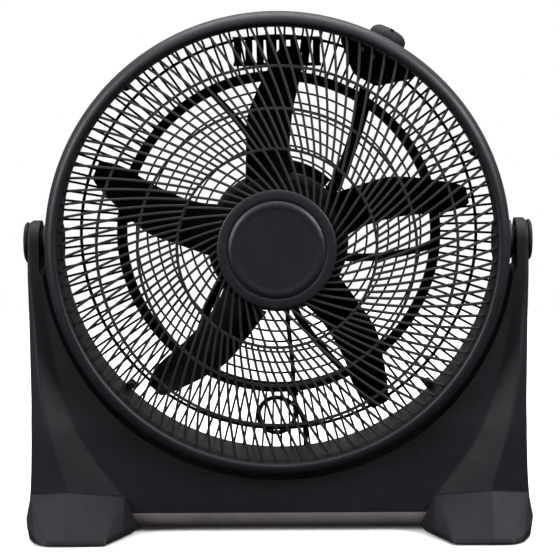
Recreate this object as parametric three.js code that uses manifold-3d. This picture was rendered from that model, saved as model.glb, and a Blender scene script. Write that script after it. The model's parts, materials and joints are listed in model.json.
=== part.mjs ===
// Floor-standing drum fan: a round head with five blades between two spiral
// grilles, tilting between the arms of a U-shaped stand. Millimetres, +Z up, the
// front faces -Y, and the origin lies on the floor under the centre of the fan.

import * as THREE from 'three';
import { mergeVertices } from 'three/addons/utils/BufferGeometryUtils.js';
import { ConvexGeometry } from 'three/addons/geometries/ConvexGeometry.js';
import Module from 'manifold-3d';

const wasm = await Module();
wasm.setup();

// ---------------------------------------------------------------- driving sizes

const PIVOT_Z = 326;              // height of the tilt axis above the floor
const GAP = 0.3;                  // clearance between pieces that touch
const WALL = 3;                   // wall of the moulded shells
const RING_SIDES = 36;            // facets of the large rings
const MID_SIDES = 18;             // facets of the motor and hub parts
const SMALL_SIDES = 8;            // facets of screws and holes

// drum
const BEZEL_R = 257;              // outer radius of the front bezel
const BEZEL_INNER_R = 242;        // opening inside the bezel
const BEZEL_Y = -69.5;            // front plane of the bezel
const DRUM_R = 252.5;             // outer radius of the drum wall
const DRUM_INNER_R = 249.5;
const DRUM_REAR_Y = 50;
const BOSS_R = 22;                // side bosses that carry the pivots
const BOSS_IN_X = 243;
const BOSS_OUT_X = 263;

// front grille
const GRILLE_RINGS = [109, 152.5, 198];
const GRILLE_RIM_R = 239.5;       // inner radius of the rim behind the bezel lip
const GRILLE_CENTRE_Y = -82;
const GRILLE_DOME = 22;           // how far the rim lies behind the centre
const GRILLE_RIBS = 12;           // simplified number of outer ribs
const CAP_R = 65.5;
const CAP_DISC_R = 53;

// rear grille
const REAR_RIM_R = 250;              // opening inside the rear rim
const REAR_RIM_BACK_Y = 56;
const RIM_LUG_R = 7;               // ears on the rim for its screws
const REAR_THIN_RING_R = 230;
const REAR_THICK_RING_R = 184;
const REAR_THICK_RING_Y = 82;
const REAR_RINGS = [103.8, 141.6];
const REAR_HUB_R = 66;
const REAR_HUB_Y = 76;
const REAR_BARS = 12;             // simplified number of outer bars
const REAR_ARMS = 6;
const REAR_ARM_START = 35;        // degrees clockwise from the top
const REAR_ARM_SWEEP = 18;
const HAND_HOLD_R = [197, 227];   // the two rails of the hand-hold at the top
const HAND_HOLD_ANGLES = [-12, -4, 4, 12];
const HAND_HOLD_WIDTH = 102;

// blade
const BLADE_COUNT = 5;
const BLADE_TIP_R = 219;
const BLADE_PHASE = 6;            // degrees clockwise from the top
const BLADE_Y = -18;              // middle of the blades
const BLADE_ROOT_R = 76;
const BLADE_THICKNESS = 2.6;
const ROOT_PITCH = 36;            // degrees to the plane of the wheel
const TIP_PITCH = 20;
const HUB_R = 80;
const SHAFT_R = 4;

// motor
const STATOR_R = 47;
const ROTOR_R = 24;
const STATOR_FRONT_Y = 24;
const STATOR_REAR_Y = 54;
const MOTOR_BOLT_R = 43;          // pitch radius of the long motor bolts
const REAR_COVER_R = 64;
const REAR_COVER_Y = 105;

// speed switch and knob
const KNOB_ANGLE = 29;            // degrees clockwise from the top
const KNOB_Y = 32;
const KNOB_R = 22;
const KNOB_BASE = 253.4;          // radius at which the knob's foot sits
const KNOB_TOP = 270;

// stand
const ARM_IN_X = 267;
const ARM_OUT_X = 281;
const PANEL_FRONT_Y = -50;
const PANEL_REAR_Y = 58;
const PANEL_CUT_R = 265;          // cut-out around the head
const ARM_TOP_R = 25;             // rounded arm tops about the tilt axis
const FOOT_SEAM_Z = 44;
const FOOT_IN_X = 155;
const FOOT_OUT_X = 283;
const FOOT_Y = 108;               // feet reach this far to the front and back
const FOOT_BASE_Z = 2.3;
const PAD_R = 9;
const PIVOT_CAP_X = 286.6;
const PIVOT_CAP_R = 23;
const BOLT_HEAD_X = 284.2;        // the pivot bolts' heads end here, inside the caps

// mains lead
const CORD_R = 2.75;
const COIL_X = 84;
const COIL_Y = 52.75;
const COIL_INNER_R = 22.7;
const COIL_OUTER_R = 40.3;
const COIL_HEIGHT = 11.5;

// --------------------------------------------------------------------- helpers

const rad = THREE.MathUtils.degToRad;

function solidOf(geometry) {
  const bare = geometry.index ? geometry.toNonIndexed() : geometry.clone();
  bare.deleteAttribute('normal');
  bare.deleteAttribute('uv');
  const merged = mergeVertices(bare, 1e-3);
  const source = merged.index.array;
  const corners = merged.attributes.position;
  const triangles = [];
  let volume = 0;
  const a = new THREE.Vector3();
  const b = new THREE.Vector3();
  const c = new THREE.Vector3();
  for (let i = 0; i < source.length; i += 3) {
    const [p, q, r] = [source[i], source[i + 1], source[i + 2]];
    if (p === q || q === r || r === p) continue;
    triangles.push(p, q, r);
    a.fromBufferAttribute(corners, p);
    b.fromBufferAttribute(corners, q);
    c.fromBufferAttribute(corners, r);
    volume += a.dot(b.cross(c));
  }
  if (volume < 0) triangles.reverse();
  return new wasm.Manifold(new wasm.Mesh({
    numProp: 3,
    vertProperties: new Float32Array(corners.array),
    triVerts: new Uint32Array(triangles),
  }));
}

function geometryOf(solid) {
  const mesh = solid.getMesh();
  const geometry = new THREE.BufferGeometry();
  const corners = new Float32Array(mesh.vertProperties);
  geometry.setAttribute('position', new THREE.BufferAttribute(corners, 3));
  geometry.setIndex(new THREE.BufferAttribute(new Uint32Array(mesh.triVerts), 1));
  geometry.computeVertexNormals();
  return geometry;
}

function joined(solids) {
  return solids.reduce((whole, piece) => whole.add(piece));
}

// A body of revolution about Y. The outline is a list of [radius, y] and closes on
// the axis or on its own first point.
function turnedY(outline, segments = MID_SIDES) {
  const points = outline.map(([r, y]) => new THREE.Vector2(r, y));
  const onAxis = outline[0][0] === 0 && outline.at(-1)[0] === 0;
  if (!onAxis) points.push(points[0].clone());
  return new THREE.LatheGeometry(points, segments);
}

function turnedX(outline, segments = MID_SIDES) {
  return turnedY(outline, segments).rotateZ(-Math.PI / 2);
}

function turnedZ(outline, segments = MID_SIDES) {
  return turnedY(outline, segments).rotateX(Math.PI / 2);
}

function ringOutline(inner, outer, low, high) {
  return [[inner, low], [outer, low], [outer, high], [inner, high]];
}

function rodOutline(radius, low, high) {
  return [[0, low], [radius, low], [radius, high], [0, high]];
}

function shapeOf(points) {
  return new THREE.Shape(points.map(([u, v]) => new THREE.Vector2(u, v)));
}

// An outline in X and Z, pulled along Y from front to rear.
function pulledY(shape, front, rear, curveSegments = 24) {
  const settings = { depth: rear - front, bevelEnabled: false, curveSegments };
  return new THREE.ExtrudeGeometry(shape, settings).rotateX(Math.PI / 2).translate(0, rear, 0);
}

// An outline in Y and Z, pulled along X from left to right.
function pulledX(shape, left, right, curveSegments = 12) {
  const settings = { depth: right - left, bevelEnabled: false, curveSegments };
  const geometry = new THREE.ExtrudeGeometry(shape, settings);
  return geometry.rotateX(Math.PI / 2).rotateZ(Math.PI / 2).translate(left, 0, 0);
}

// An outline in X and Y, pulled up along Z.
function pulledZ(shape, bottom, top) {
  const settings = { depth: top - bottom, bevelEnabled: false };
  return new THREE.ExtrudeGeometry(shape, settings).translate(0, 0, bottom);
}

function block([x0, x1], [y0, y1], [z0, z1]) {
  const geometry = new THREE.BoxGeometry(x1 - x0, y1 - y0, z1 - z0);
  return geometry.translate((x0 + x1) / 2, (y0 + y1) / 2, (z0 + z1) / 2);
}

// A bar that runs outwards in the head: angleAt gives degrees clockwise from the
// top and yAt the depth of its middle, both by radius.
function swungBar({ from, to, steps, width, depth, angleAt, yAt }) {
  const geometry = new THREE.BoxGeometry(1, 1, 1, steps, 1, 1);
  const spots = geometry.attributes.position;
  for (let i = 0; i < spots.count; i += 1) {
    const r = from + (to - from) * (spots.getX(i) + 0.5);
    const angle = rad(angleAt(r)) + (spots.getZ(i) * width) / r;
    spots.setXYZ(i, r * Math.sin(angle), yAt(r) + spots.getY(i) * depth, r * Math.cos(angle));
  }
  return geometry;
}

// A round tube along a smooth curve through the given points.
function tubeAlong(points, radius, sides, steps) {
  const section = new THREE.Shape();
  section.absarc(0, 0, radius, 0, Math.PI * 2);
  const route = new THREE.CatmullRomCurve3(points.map((p) => new THREE.Vector3(...p)));
  const flat = new THREE.Shape(section.getPoints(sides).slice(0, sides));
  return new THREE.ExtrudeGeometry(flat, { steps, extrudePath: route, bevelEnabled: false });
}

// A round cutter along Y through a spot given by X and Z.
function drillY(radius, x, z, front, rear) {
  return solidOf(turnedY(rodOutline(radius, front, rear), SMALL_SIDES).translate(x, 0, z));
}

// A round cutter along Z through a spot given by X and Y.
function drillZ(radius, x, y, bottom, top) {
  return solidOf(turnedZ(rodOutline(radius, bottom, top), SMALL_SIDES).translate(x, y, 0));
}

function polar(radius, degrees, y) {
  return [radius * Math.sin(rad(degrees)), y, radius * Math.cos(rad(degrees))];
}

// ------------------------------------------------------------------- materials

const FINISHES = {
  charcoal: { color: 0x2b292c, roughness: 0.55, metalness: 0 },
  charcoal_head: { color: 0x302e33, roughness: 0.5, metalness: 0 },
  black: { color: 0x161517, roughness: 0.5, metalness: 0 },
  rubber: { color: 0x121212, roughness: 0.9, metalness: 0 },
  steel: { color: 0x9a9a9a, roughness: 0.35, metalness: 1 },
  laminated: { color: 0x55565a, roughness: 0.55, metalness: 0.9 },
  copper: { color: 0x9c4a22, roughness: 0.45, metalness: 0.9 },
  bronze: { color: 0x8c6b36, roughness: 0.45, metalness: 0.9 },
  aluminium: { color: 0xa8aaad, roughness: 0.5, metalness: 0.9 },
  pale: { color: 0xc9c5ba, roughness: 0.5, metalness: 0 },
  brass: { color: 0xb08d45, roughness: 0.35, metalness: 1 },
};

function part(name, shape, finish) {
  const geometry = shape.isBufferGeometry ? geometryOf(solidOf(shape)) : geometryOf(shape);
  const mesh = new THREE.Mesh(geometry, new THREE.MeshStandardMaterial(FINISHES[finish]));
  mesh.name = name;
  return mesh;
}

// ----------------------------------------------------------------------- stand

// The U seen from the front: bottom band, side panels, arms and the round cut-out.
function standOutline(inset) {
  const cut = PANEL_CUT_R + inset;
  const lead = rad(8);
  const armFoot = PIVOT_Z - cut * Math.sin(lead);
  const top = PIVOT_Z + ARM_TOP_R + 5;
  const shape = new THREE.Shape();
  shape.moveTo(-(FOOT_IN_X - 3 - inset), 2 + inset);
  shape.lineTo(FOOT_IN_X - 3 - inset, 2 + inset);
  shape.lineTo(FOOT_IN_X - 3 - inset, FOOT_SEAM_Z + inset);
  shape.lineTo(276 - inset, FOOT_SEAM_Z + inset);
  shape.lineTo(278 - inset, 150);
  shape.lineTo(ARM_OUT_X - inset, 290);
  shape.lineTo(ARM_OUT_X - inset, top);
  shape.lineTo(ARM_IN_X + inset, top);
  shape.lineTo(ARM_IN_X + inset, PIVOT_Z - ARM_TOP_R);
  shape.lineTo(cut * Math.cos(lead), armFoot);
  shape.absarc(0, PIVOT_Z, cut, -lead, -(Math.PI - lead), true);
  shape.lineTo(-(ARM_IN_X + inset), PIVOT_Z - ARM_TOP_R);
  shape.lineTo(-(ARM_IN_X + inset), top);
  shape.lineTo(-(ARM_OUT_X - inset), top);
  shape.lineTo(-(ARM_OUT_X - inset), 290);
  shape.lineTo(-(278 - inset), 150);
  shape.lineTo(-(276 - inset), FOOT_SEAM_Z + inset);
  shape.lineTo(-(FOOT_IN_X - 3 - inset), FOOT_SEAM_Z + inset);
  return shape;
}

// The stand seen from the side: a rolled underside, a front that leans back to the
// arms and a rounded top about the tilt axis. The inset moves all but the rear.
function standSide(inset, rear) {
  const top = ARM_TOP_R - inset;
  const shape = new THREE.Shape();
  shape.moveTo(PANEL_FRONT_Y + inset, 110);
  shape.lineTo(PANEL_FRONT_Y + inset, 22 + inset);
  shape.lineTo(-46 + inset, 11 + inset);
  shape.lineTo(-36 + inset, 4 + inset);
  shape.lineTo(-8, 2 + inset);
  shape.lineTo(rear, 2 + inset);
  shape.lineTo(rear, 90);
  shape.lineTo(top + (rear - PANEL_REAR_Y), 300);
  shape.lineTo(top, PIVOT_Z);
  shape.absarc(0, PIVOT_Z, top, 0, Math.PI, false);
  shape.lineTo(PANEL_FRONT_Y + 18 + inset, 240);
  return shape;
}

// The raised ridge down each side panel, highest at the foot.
function ridge(side, inset) {
  const corners = [
    [176 + inset, PANEL_FRONT_Y + 2, FOOT_SEAM_Z + inset],
    [237, PANEL_FRONT_Y - 22 + inset, FOOT_SEAM_Z + inset],
    [275 - inset, PANEL_FRONT_Y + 2, FOOT_SEAM_Z + inset],
    [268, PANEL_FRONT_Y - 2 + inset, 169],
    [243 + inset, PANEL_FRONT_Y + 8, 169],
    [276 - inset, PANEL_FRONT_Y + 8, 169],
    [272, PANEL_FRONT_Y + 20, 240],
  ];
  return new ConvexGeometry(corners.map(([x, y, z]) => new THREE.Vector3(side * x, y, z)));
}

const FOOT_SCREWS = [[220, 0], [256, 40]];
const FOOT_SCREW_HOLE_R = 2.3;

function standPanel() {
  const outside = solidOf(pulledY(standOutline(0), PANEL_FRONT_Y - 10, PANEL_REAR_Y + 4))
    .intersect(solidOf(pulledX(standSide(0, PANEL_REAR_Y), -300, 300)));
  const inside = solidOf(pulledY(standOutline(WALL), PANEL_FRONT_Y - 10, PANEL_REAR_Y + 24))
    .intersect(solidOf(pulledX(standSide(WALL, PANEL_REAR_Y + 20), -290, 290)));
  let panel = outside;
  let hollow = inside;
  for (const side of [-1, 1]) {
    panel = panel.add(solidOf(ridge(side, 0)));
    hollow = hollow.add(solidOf(ridge(side, WALL + 0.5)));
  }
  panel = panel.subtract(hollow);
  const behindBand = block([-FOOT_IN_X + 0.5, FOOT_IN_X - 0.5], [0, 120], [-10, 120]);
  panel = panel.subtract(solidOf(behindBand));
  const pivotHole = turnedX(rodOutline(SHAFT_R + GAP, -320, 320), 20).translate(0, 0, PIVOT_Z);
  panel = panel.subtract(solidOf(pivotHole));
  for (const side of [-1, 1]) {
    for (const [x, y] of FOOT_SCREWS) {
      panel = panel.subtract(drillZ(FOOT_SCREW_HOLE_R, side * x, y, 30, 60));
    }
  }
  return part('stand_panel', panel, 'charcoal');
}

// One foot: a long shell from the sloping toe in front to the heel behind.
function footSolid(side, inset) {
  const low = inset === 0 ? FOOT_BASE_Z : -5;
  const high = FOOT_SEAM_Z - GAP - inset;
  const plan = [
    [192, -FOOT_Y], [252, -FOOT_Y], [275, -100], [FOOT_OUT_X, -84],
    [FOOT_OUT_X, 96], [273, FOOT_Y], [212, FOOT_Y], [200, 100],
    [160, 20], [FOOT_IN_X, -20], [FOOT_IN_X, -50], [164, -84], [177, -101],
  ];
  const top = [
    [160, -47], [237, -71], [275, -48], [275, 58], [268, 66], [214, 66], [160, 20],
  ];
  const centre = new THREE.Vector2(218, 0);
  const points = [];
  const place = ([x, y], z) => {
    const spot = new THREE.Vector2(x, y);
    const inward = centre.clone().sub(spot).normalize().multiplyScalar(inset * 1.3);
    spot.add(inward);
    points.push(new THREE.Vector3(side * spot.x, spot.y, z));
  };
  plan.forEach((corner) => place(corner, low));
  plan.forEach((corner) => place(corner, 8 - inset));
  top.forEach((corner) => place(corner, high));
  return solidOf(new ConvexGeometry(points));
}

const PAD_SPOTS = { front: [236, -80], rear: [240, 84] };

function foot(name, side) {
  let shell = footSolid(side, 0).subtract(footSolid(side, WALL));
  for (const [x, y] of Object.values(PAD_SPOTS)) {
    const post = turnedZ(rodOutline(PAD_R, FOOT_BASE_Z, 14), 20).translate(side * x, y, 0);
    const rib = block([-FOOT_OUT_X, FOOT_OUT_X], [y - 2, y + 2], [FOOT_BASE_Z, 12]);
    const stiffened = joined([solidOf(post), solidOf(rib)]).intersect(footSolid(side, 0));
    shell = shell.add(stiffened);
  }
  for (const [x, y] of FOOT_SCREWS) {
    shell = shell.subtract(drillZ(FOOT_SCREW_HOLE_R, side * x, y, 30, 60));
  }
  return part(name, shell, 'charcoal');
}

function footPad(name, side, [x, y]) {
  const pad = part(name, turnedZ(rodOutline(PAD_R, 0, FOOT_BASE_Z - GAP), 20), 'rubber');
  pad.position.set(side * x, y, 0);
  return pad;
}

function footScrew(name, side, [x, y]) {
  const outline = [[0, 35], [5, 35], [5, 40.3], [2, 40.3], [2, 56], [0, 56]];
  const screw = part(name, turnedZ(outline, SMALL_SIDES), 'steel');
  screw.position.set(side * x, y, 0);
  return screw;
}

function pivotBolt(name, side) {
  const outline = [
    [0, 245], [SHAFT_R, 245], [SHAFT_R, ARM_OUT_X + GAP], [8, ARM_OUT_X + GAP],
    [8, BOLT_HEAD_X], [0, BOLT_HEAD_X],
  ];
  const bolt = part(name, turnedX(outline, 12), 'steel');
  bolt.position.z = PIVOT_Z;
  bolt.rotation.z = side < 0 ? Math.PI : 0;
  return bolt;
}

function pivotCap(name, side) {
  const seat = ARM_OUT_X + GAP;
  const outline = [
    [8.6, seat], [PIVOT_CAP_R, seat], [PIVOT_CAP_R, seat + 2.6], [20, seat + 4.2],
    [12, PIVOT_CAP_X], [0, PIVOT_CAP_X], [0, BOLT_HEAD_X + 0.4], [8.6, BOLT_HEAD_X + 0.4],
  ];
  const cap = part(name, turnedX(outline, 24), 'charcoal');
  cap.position.z = PIVOT_Z;
  cap.rotation.z = side < 0 ? Math.PI : 0;
  return cap;
}

function frictionWasher(name, side) {
  const outline = ringOutline(SHAFT_R + 0.4, 16, BOSS_OUT_X + GAP, ARM_IN_X - GAP);
  const washer = part(name, turnedX(outline, 16), 'rubber');
  washer.position.z = PIVOT_Z;
  washer.rotation.z = side < 0 ? Math.PI : 0;
  return washer;
}

function stand() {
  const group = new THREE.Group();
  group.add(standPanel());
  for (const [side, word] of [[-1, 'left'], [1, 'right']]) {
    group.add(foot(`${word}_foot`, side));
    for (const [place, spot] of Object.entries(PAD_SPOTS)) {
      group.add(footPad(`${word}_${place}_pad`, side, spot));
    }
    FOOT_SCREWS.forEach((spot, i) => {
      group.add(footScrew(`${word}_foot_screw_${i + 1}`, side, spot));
    });
    group.add(pivotBolt(`${word}_pivot_bolt`, side));
    group.add(pivotCap(`${word}_pivot_cap`, side));
    group.add(frictionWasher(`${word}_friction_washer`, side));
  }
  return group;
}

// ------------------------------------------------------------------------ drum

const RIM_SCREW_ANGLES = [67, 135, 225, 315];
const RIM_SCREW_R = 245;
const RIM_SCREW_HOLE_R = 1.9;

function drumRing() {
  const outline = [
    [BEZEL_INNER_R, -61.3], [BEZEL_INNER_R, -66], [244, BEZEL_Y], [249, -69], [253, -66],
    [256, -60], [BEZEL_R, -52], [256.5, -48], [DRUM_R, -46],
    [DRUM_R, DRUM_REAR_Y], [DRUM_INNER_R, DRUM_REAR_Y], [DRUM_INNER_R, -61.3],
  ];
  const ring = solidOf(turnedY(outline, RING_SIDES));
  const bosses = [];
  const holes = [solidOf(turnedX(rodOutline(SHAFT_R + GAP, -300, 300), 20))];
  for (const side of [-1, 1]) {
    const ends = [side * BOSS_IN_X, side * BOSS_OUT_X].sort((p, q) => p - q);
    bosses.push(solidOf(turnedX(rodOutline(BOSS_R, ends[0], ends[1]), MID_SIDES)));
  }
  for (const angle of RIM_SCREW_ANGLES) {
    const [x, , z] = polar(RIM_SCREW_R, angle, 0);
    bosses.push(solidOf(turnedY(rodOutline(5, 36, DRUM_REAR_Y), 16).translate(x, 0, z)));
    holes.push(drillY(RIM_SCREW_HOLE_R, x, z, 30, 60));
  }
  const spindleHole = turnedZ(rodOutline(4, 240, 260), 16).translate(0, KNOB_Y, 0);
  holes.push(solidOf(spindleHole.rotateY(rad(KNOB_ANGLE))));
  return part('drum_ring', joined([ring, ...bosses]).subtract(joined(holes)), 'charcoal_head');
}

function rimScrews() {
  return RIM_SCREW_ANGLES.map((angle, i) => {
    const outline = [[0, 40], [1.6, 40], [1.6, 56.3], [3.5, 56.3], [3.5, 58.6], [0, 58.6]];
    const screw = part(`rear_grille_screw_${i + 1}`, turnedY(outline, SMALL_SIDES), 'steel');
    screw.position.set(...polar(RIM_SCREW_R, angle, 0));
    return screw;
  });
}

// --------------------------------------------------------------------- grilles

function frontY(r) {
  return GRILLE_CENTRE_Y + GRILLE_DOME * (r / 241) ** 2.5;
}

// The ribs swing back as they run outwards, hard near the cap and less at the rim.
function ribSwing(r) {
  const steep = 34;
  return -(22.5 * Math.log(r / CAP_R) + 15.5 * (1 - Math.exp(-(r - CAP_R) / steep)));
}

function frontGrille() {
  const pieces = [
    solidOf(turnedY(rodOutline(60, -84.5, -79.5), MID_SIDES)),
    solidOf(turnedY(ringOutline(GRILLE_RIM_R, 249.2, -61, -53), RING_SIDES)),
  ];
  for (const r of GRILLE_RINGS) {
    const outline = ringOutline(r - 1.6, r + 1.6, frontY(r) - 1.6, frontY(r) + 2.2);
    pieces.push(solidOf(turnedY(outline, RING_SIDES)));
  }
  for (let i = 0; i < GRILLE_RIBS; i += 1) {
    const start = (i * 360) / GRILLE_RIBS;
    const inner = i % 2 === 0;
    pieces.push(solidOf(swungBar({
      from: inner ? 58 : GRILLE_RINGS[0],
      to: GRILLE_RIM_R + 1,
      steps: inner ? 4 : 2,
      width: 2.6,
      depth: 5,
      angleAt: (r) => start + ribSwing(r),
      yAt: frontY,
    })));
  }
  return part('front_grille', joined(pieces), 'charcoal_head');
}

function grilleCap() {
  const outline = [
    [0, -84.8], [64, -84.8], [CAP_R, -86], [64.5, -87.6], [54.5, -88.2],
    [CAP_DISC_R + 0.4, -86.8], [0, -86.8],
  ];
  return part('grille_cap', turnedY(outline, 28), 'charcoal_head');
}

function capDisc() {
  const outline = [[0, -87.1], [CAP_DISC_R, -87.1], [CAP_DISC_R, -88.6], [51, -90], [0, -90.4]];
  return part('cap_disc', turnedY(outline, 28), 'charcoal_head');
}

function rearY(r) {
  if (r <= REAR_THICK_RING_R) {
    const share = (r - REAR_HUB_R) / (REAR_THICK_RING_R - REAR_HUB_R);
    return REAR_HUB_Y + (REAR_THICK_RING_Y - REAR_HUB_Y) * share;
  }
  const share = (r - REAR_THICK_RING_R) / (REAR_RIM_R - REAR_THICK_RING_R);
  return REAR_THICK_RING_Y - 28 * share ** 1.3;
}

function armSwing(r) {
  return REAR_ARM_SWEEP * (1 - (r - REAR_HUB_R) / (REAR_THICK_RING_R - REAR_HUB_R)) ** 1.2;
}

const MOTOR_BOLT_ANGLES = [135, 315];
const MOTOR_BOLT_HOLE_R = 2.1;

function rearRings() {
  const plate = ringOutline(10, REAR_HUB_R, 70.3, 74.3);
  const hub = ringOutline(REAR_HUB_R - 1, 70, 70.3, 80);
  const thick = ringOutline(REAR_THICK_RING_R - 6, REAR_THICK_RING_R + 6, 78.5, 86);
  const thinY = rearY(REAR_THIN_RING_R);
  const thin = ringOutline(REAR_THIN_RING_R - 1.5, REAR_THIN_RING_R + 1.5, thinY - 2, thinY + 2);
  const rim = ringOutline(REAR_RIM_R, DRUM_R, DRUM_REAR_Y + GAP, REAR_RIM_BACK_Y);
  const inner = REAR_RINGS.map((r) => ringOutline(r - 1.4, r + 1.4, rearY(r) - 1.8, rearY(r) + 1.8));
  return [
    ...[plate, hub, ...inner].map((outline) => solidOf(turnedY(outline))),
    ...[thick, thin, rim].map((outline) => solidOf(turnedY(outline, RING_SIDES))),
  ];
}

function rimLugs() {
  return RIM_SCREW_ANGLES.map((angle) => {
    const [x, , z] = polar(RIM_SCREW_R, angle, 0);
    const outline = rodOutline(RIM_LUG_R, DRUM_REAR_Y + GAP, REAR_RIM_BACK_Y);
    return solidOf(turnedY(outline, 16).translate(x, 0, z));
  });
}

function rearArmsAndBars() {
  const pieces = [];
  for (let i = 0; i < REAR_ARMS; i += 1) {
    const start = REAR_ARM_START + (i * 360) / REAR_ARMS;
    pieces.push(solidOf(swungBar({
      from: REAR_HUB_R + 1,
      to: REAR_THICK_RING_R - 2,
      steps: 3,
      width: 9,
      depth: 6,
      angleAt: (r) => start + armSwing(r),
      yAt: rearY,
    })));
  }
  for (let i = 0; i < REAR_BARS; i += 1) {
    const angle = (i * 360) / REAR_BARS;
    pieces.push(solidOf(swungBar({
      from: REAR_THICK_RING_R + 3,
      to: REAR_RIM_R + 1,
      steps: 2,
      width: 2.8,
      depth: 6,
      angleAt: () => angle,
      yAt: (r) => Math.max(rearY(r), 53.4),
    })));
  }
  return pieces;
}

// The hand-hold at the top: broad slats between two short cross rails.
function handHold() {
  const [low, high] = HAND_HOLD_R;
  const slats = HAND_HOLD_ANGLES.map((angle) => solidOf(swungBar({
    from: low,
    to: high,
    steps: 1,
    width: 11,
    depth: 6,
    angleAt: () => angle,
    yAt: rearY,
  })));
  const rails = HAND_HOLD_R.map((radius) => solidOf(swungBar({
    from: radius - 2,
    to: radius + 2,
    steps: 1,
    width: HAND_HOLD_WIDTH,
    depth: 4,
    angleAt: () => 0,
    yAt: rearY,
  })));
  return [...slats, ...rails];
}

function rearGrille() {
  const holes = MOTOR_BOLT_ANGLES.map((angle) => {
    const [x, , z] = polar(MOTOR_BOLT_R, angle, 0);
    return drillY(MOTOR_BOLT_HOLE_R, x, z, 60, 90);
  });
  for (const angle of RIM_SCREW_ANGLES) {
    const [x, , z] = polar(RIM_SCREW_R, angle, 0);
    holes.push(drillY(RIM_SCREW_HOLE_R, x, z, 40, 70));
  }
  const whole = joined([...rearRings(), ...rimLugs(), ...rearArmsAndBars(), ...handHold()]);
  return part('rear_grille', whole.subtract(joined(holes)), 'black');
}

// ----------------------------------------------------------------------- motor

function boredForBolts(outline, segments, from, to) {
  let solid = solidOf(turnedY(outline, segments));
  for (const angle of MOTOR_BOLT_ANGLES) {
    const [x, , z] = polar(MOTOR_BOLT_R, angle, 0);
    solid = solid.subtract(drillY(MOTOR_BOLT_HOLE_R, x, z, from, to));
  }
  return solid;
}

function statorCore() {
  const outline = ringOutline(ROTOR_R + 0.6, STATOR_R, STATOR_FRONT_Y, STATOR_REAR_Y);
  return part('stator_core', boredForBolts(outline, MID_SIDES, 10, 70), 'laminated');
}

function winding(name, low, high) {
  return part(name, turnedY(ringOutline(27, 40.5, low, high), 20), 'copper');
}

function frontBracket() {
  const outline = [
    [8.3, 8], [13, 8], [13, 11], [44, 11], [49.5, 15], [49.5, STATOR_FRONT_Y - GAP],
    [45.4, STATOR_FRONT_Y - GAP], [45.4, 16], [43.5, 14.5], [13, 14.5], [12, 18], [8.3, 18],
  ];
  return part('motor_front_bracket', boredForBolts(outline, MID_SIDES, 5, 17), 'aluminium');
}

function rearBracket() {
  const outline = [
    [8.3, 60], [12, 60], [13, 63.5], [43.5, 63.5], [45.4, 62], [45.4, STATOR_REAR_Y + GAP],
    [49.5, STATOR_REAR_Y + GAP], [49.5, 63], [44, 67], [13, 67], [13, 70], [8.3, 70],
  ];
  return part('motor_rear_bracket', boredForBolts(outline, MID_SIDES, 60, 69), 'aluminium');
}

function bush(name, low, high) {
  return part(name, turnedY(ringOutline(SHAFT_R + GAP, 8, low, high), 16), 'bronze');
}

function motorBolts() {
  return MOTOR_BOLT_ANGLES.map((angle, i) => {
    const outline = [[0, 7.5], [3.5, 7.5], [3.5, 10.7], [1.8, 10.7], [1.8, 77], [0, 77]];
    const bolt = part(`motor_bolt_${i + 1}`, turnedY(outline, SMALL_SIDES), 'steel');
    bolt.position.set(...polar(MOTOR_BOLT_R, angle, 0));
    return bolt;
  });
}

function rearCover() {
  const outline = [
    [0, 102.5], [39, 102.5], [56, 99], [61.5, 91], [61.5, 74.6],
    [REAR_COVER_R, 74.6], [REAR_COVER_R, 92], [58, 101.5], [40, REAR_COVER_Y], [0, REAR_COVER_Y],
  ];
  return part('motor_rear_cover', turnedY(outline), 'black');
}

// ------------------------------------------------------------------- fan wheel

const BLADE_EDGES = [
  // radius, back edge and front edge in degrees from the line of the tip
  [BLADE_ROOT_R, -33, 9], [92, -28, 4], [113, -23.5, 1.4], [144, -19, 1],
  [165, -14.5, 1.6], [190, -9.5, 2.4], [205, -6.8, 2], [214, -5, 1.2],
  [BLADE_TIP_R, -3.4, -0.2],
];

function bladeSolid(turn) {
  const rows = BLADE_EDGES.length - 1;
  const geometry = new THREE.BoxGeometry(1, 1, 1, rows, 1, 3);
  const spots = geometry.attributes.position;
  for (let i = 0; i < spots.count; i += 1) {
    const [r, back, front] = BLADE_EDGES[Math.round((spots.getX(i) + 0.5) * rows)];
    const across = spots.getZ(i) + 0.5;
    const angle = rad(BLADE_PHASE + turn + back + (front - back) * across);
    const outward = (r - BLADE_ROOT_R) / (BLADE_TIP_R - BLADE_ROOT_R);
    const pitch = THREE.MathUtils.lerp(ROOT_PITCH, TIP_PITCH, outward);
    const chord = rad(front - back) * r;
    const rise = (across - 0.5) * chord * Math.tan(rad(pitch));
    const hollow = 3 * Math.sin(Math.PI * across);
    const y = BLADE_Y + rise + hollow + spots.getY(i) * BLADE_THICKNESS;
    spots.setXYZ(i, r * Math.sin(angle), y, r * Math.cos(angle));
  }
  return solidOf(geometry);
}

function fanBlade() {
  const outline = [
    [SHAFT_R + GAP, -44], [40, -44], [60, -38], [74, -22], [HUB_R, -2], [HUB_R, 5],
    [HUB_R - 3, 5], [HUB_R - 3, -2], [71, -20.5], [58, -35.5], [39.5, -41],
    [13, -41], [12, 1.2], [SHAFT_R + GAP, 1.2],
  ];
  const pieces = [solidOf(turnedY(outline))];
  for (let i = 0; i < BLADE_COUNT; i += 1) pieces.push(bladeSolid((i * 360) / BLADE_COUNT));
  return part('fan_blade', joined(pieces), 'black');
}

function rotorShaft() {
  const shaft = solidOf(turnedY(rodOutline(SHAFT_R, -58, 72), 20));
  const pinHole = solidOf(turnedX(rodOutline(1.8, -10, 10), SMALL_SIDES).translate(0, 3, 0));
  return part('rotor_shaft', shaft.subtract(pinHole), 'steel');
}

function drivePin() {
  return part('drive_pin', turnedX(rodOutline(1.5, -12, 12), SMALL_SIDES).translate(0, 3, 0), 'steel');
}

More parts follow.
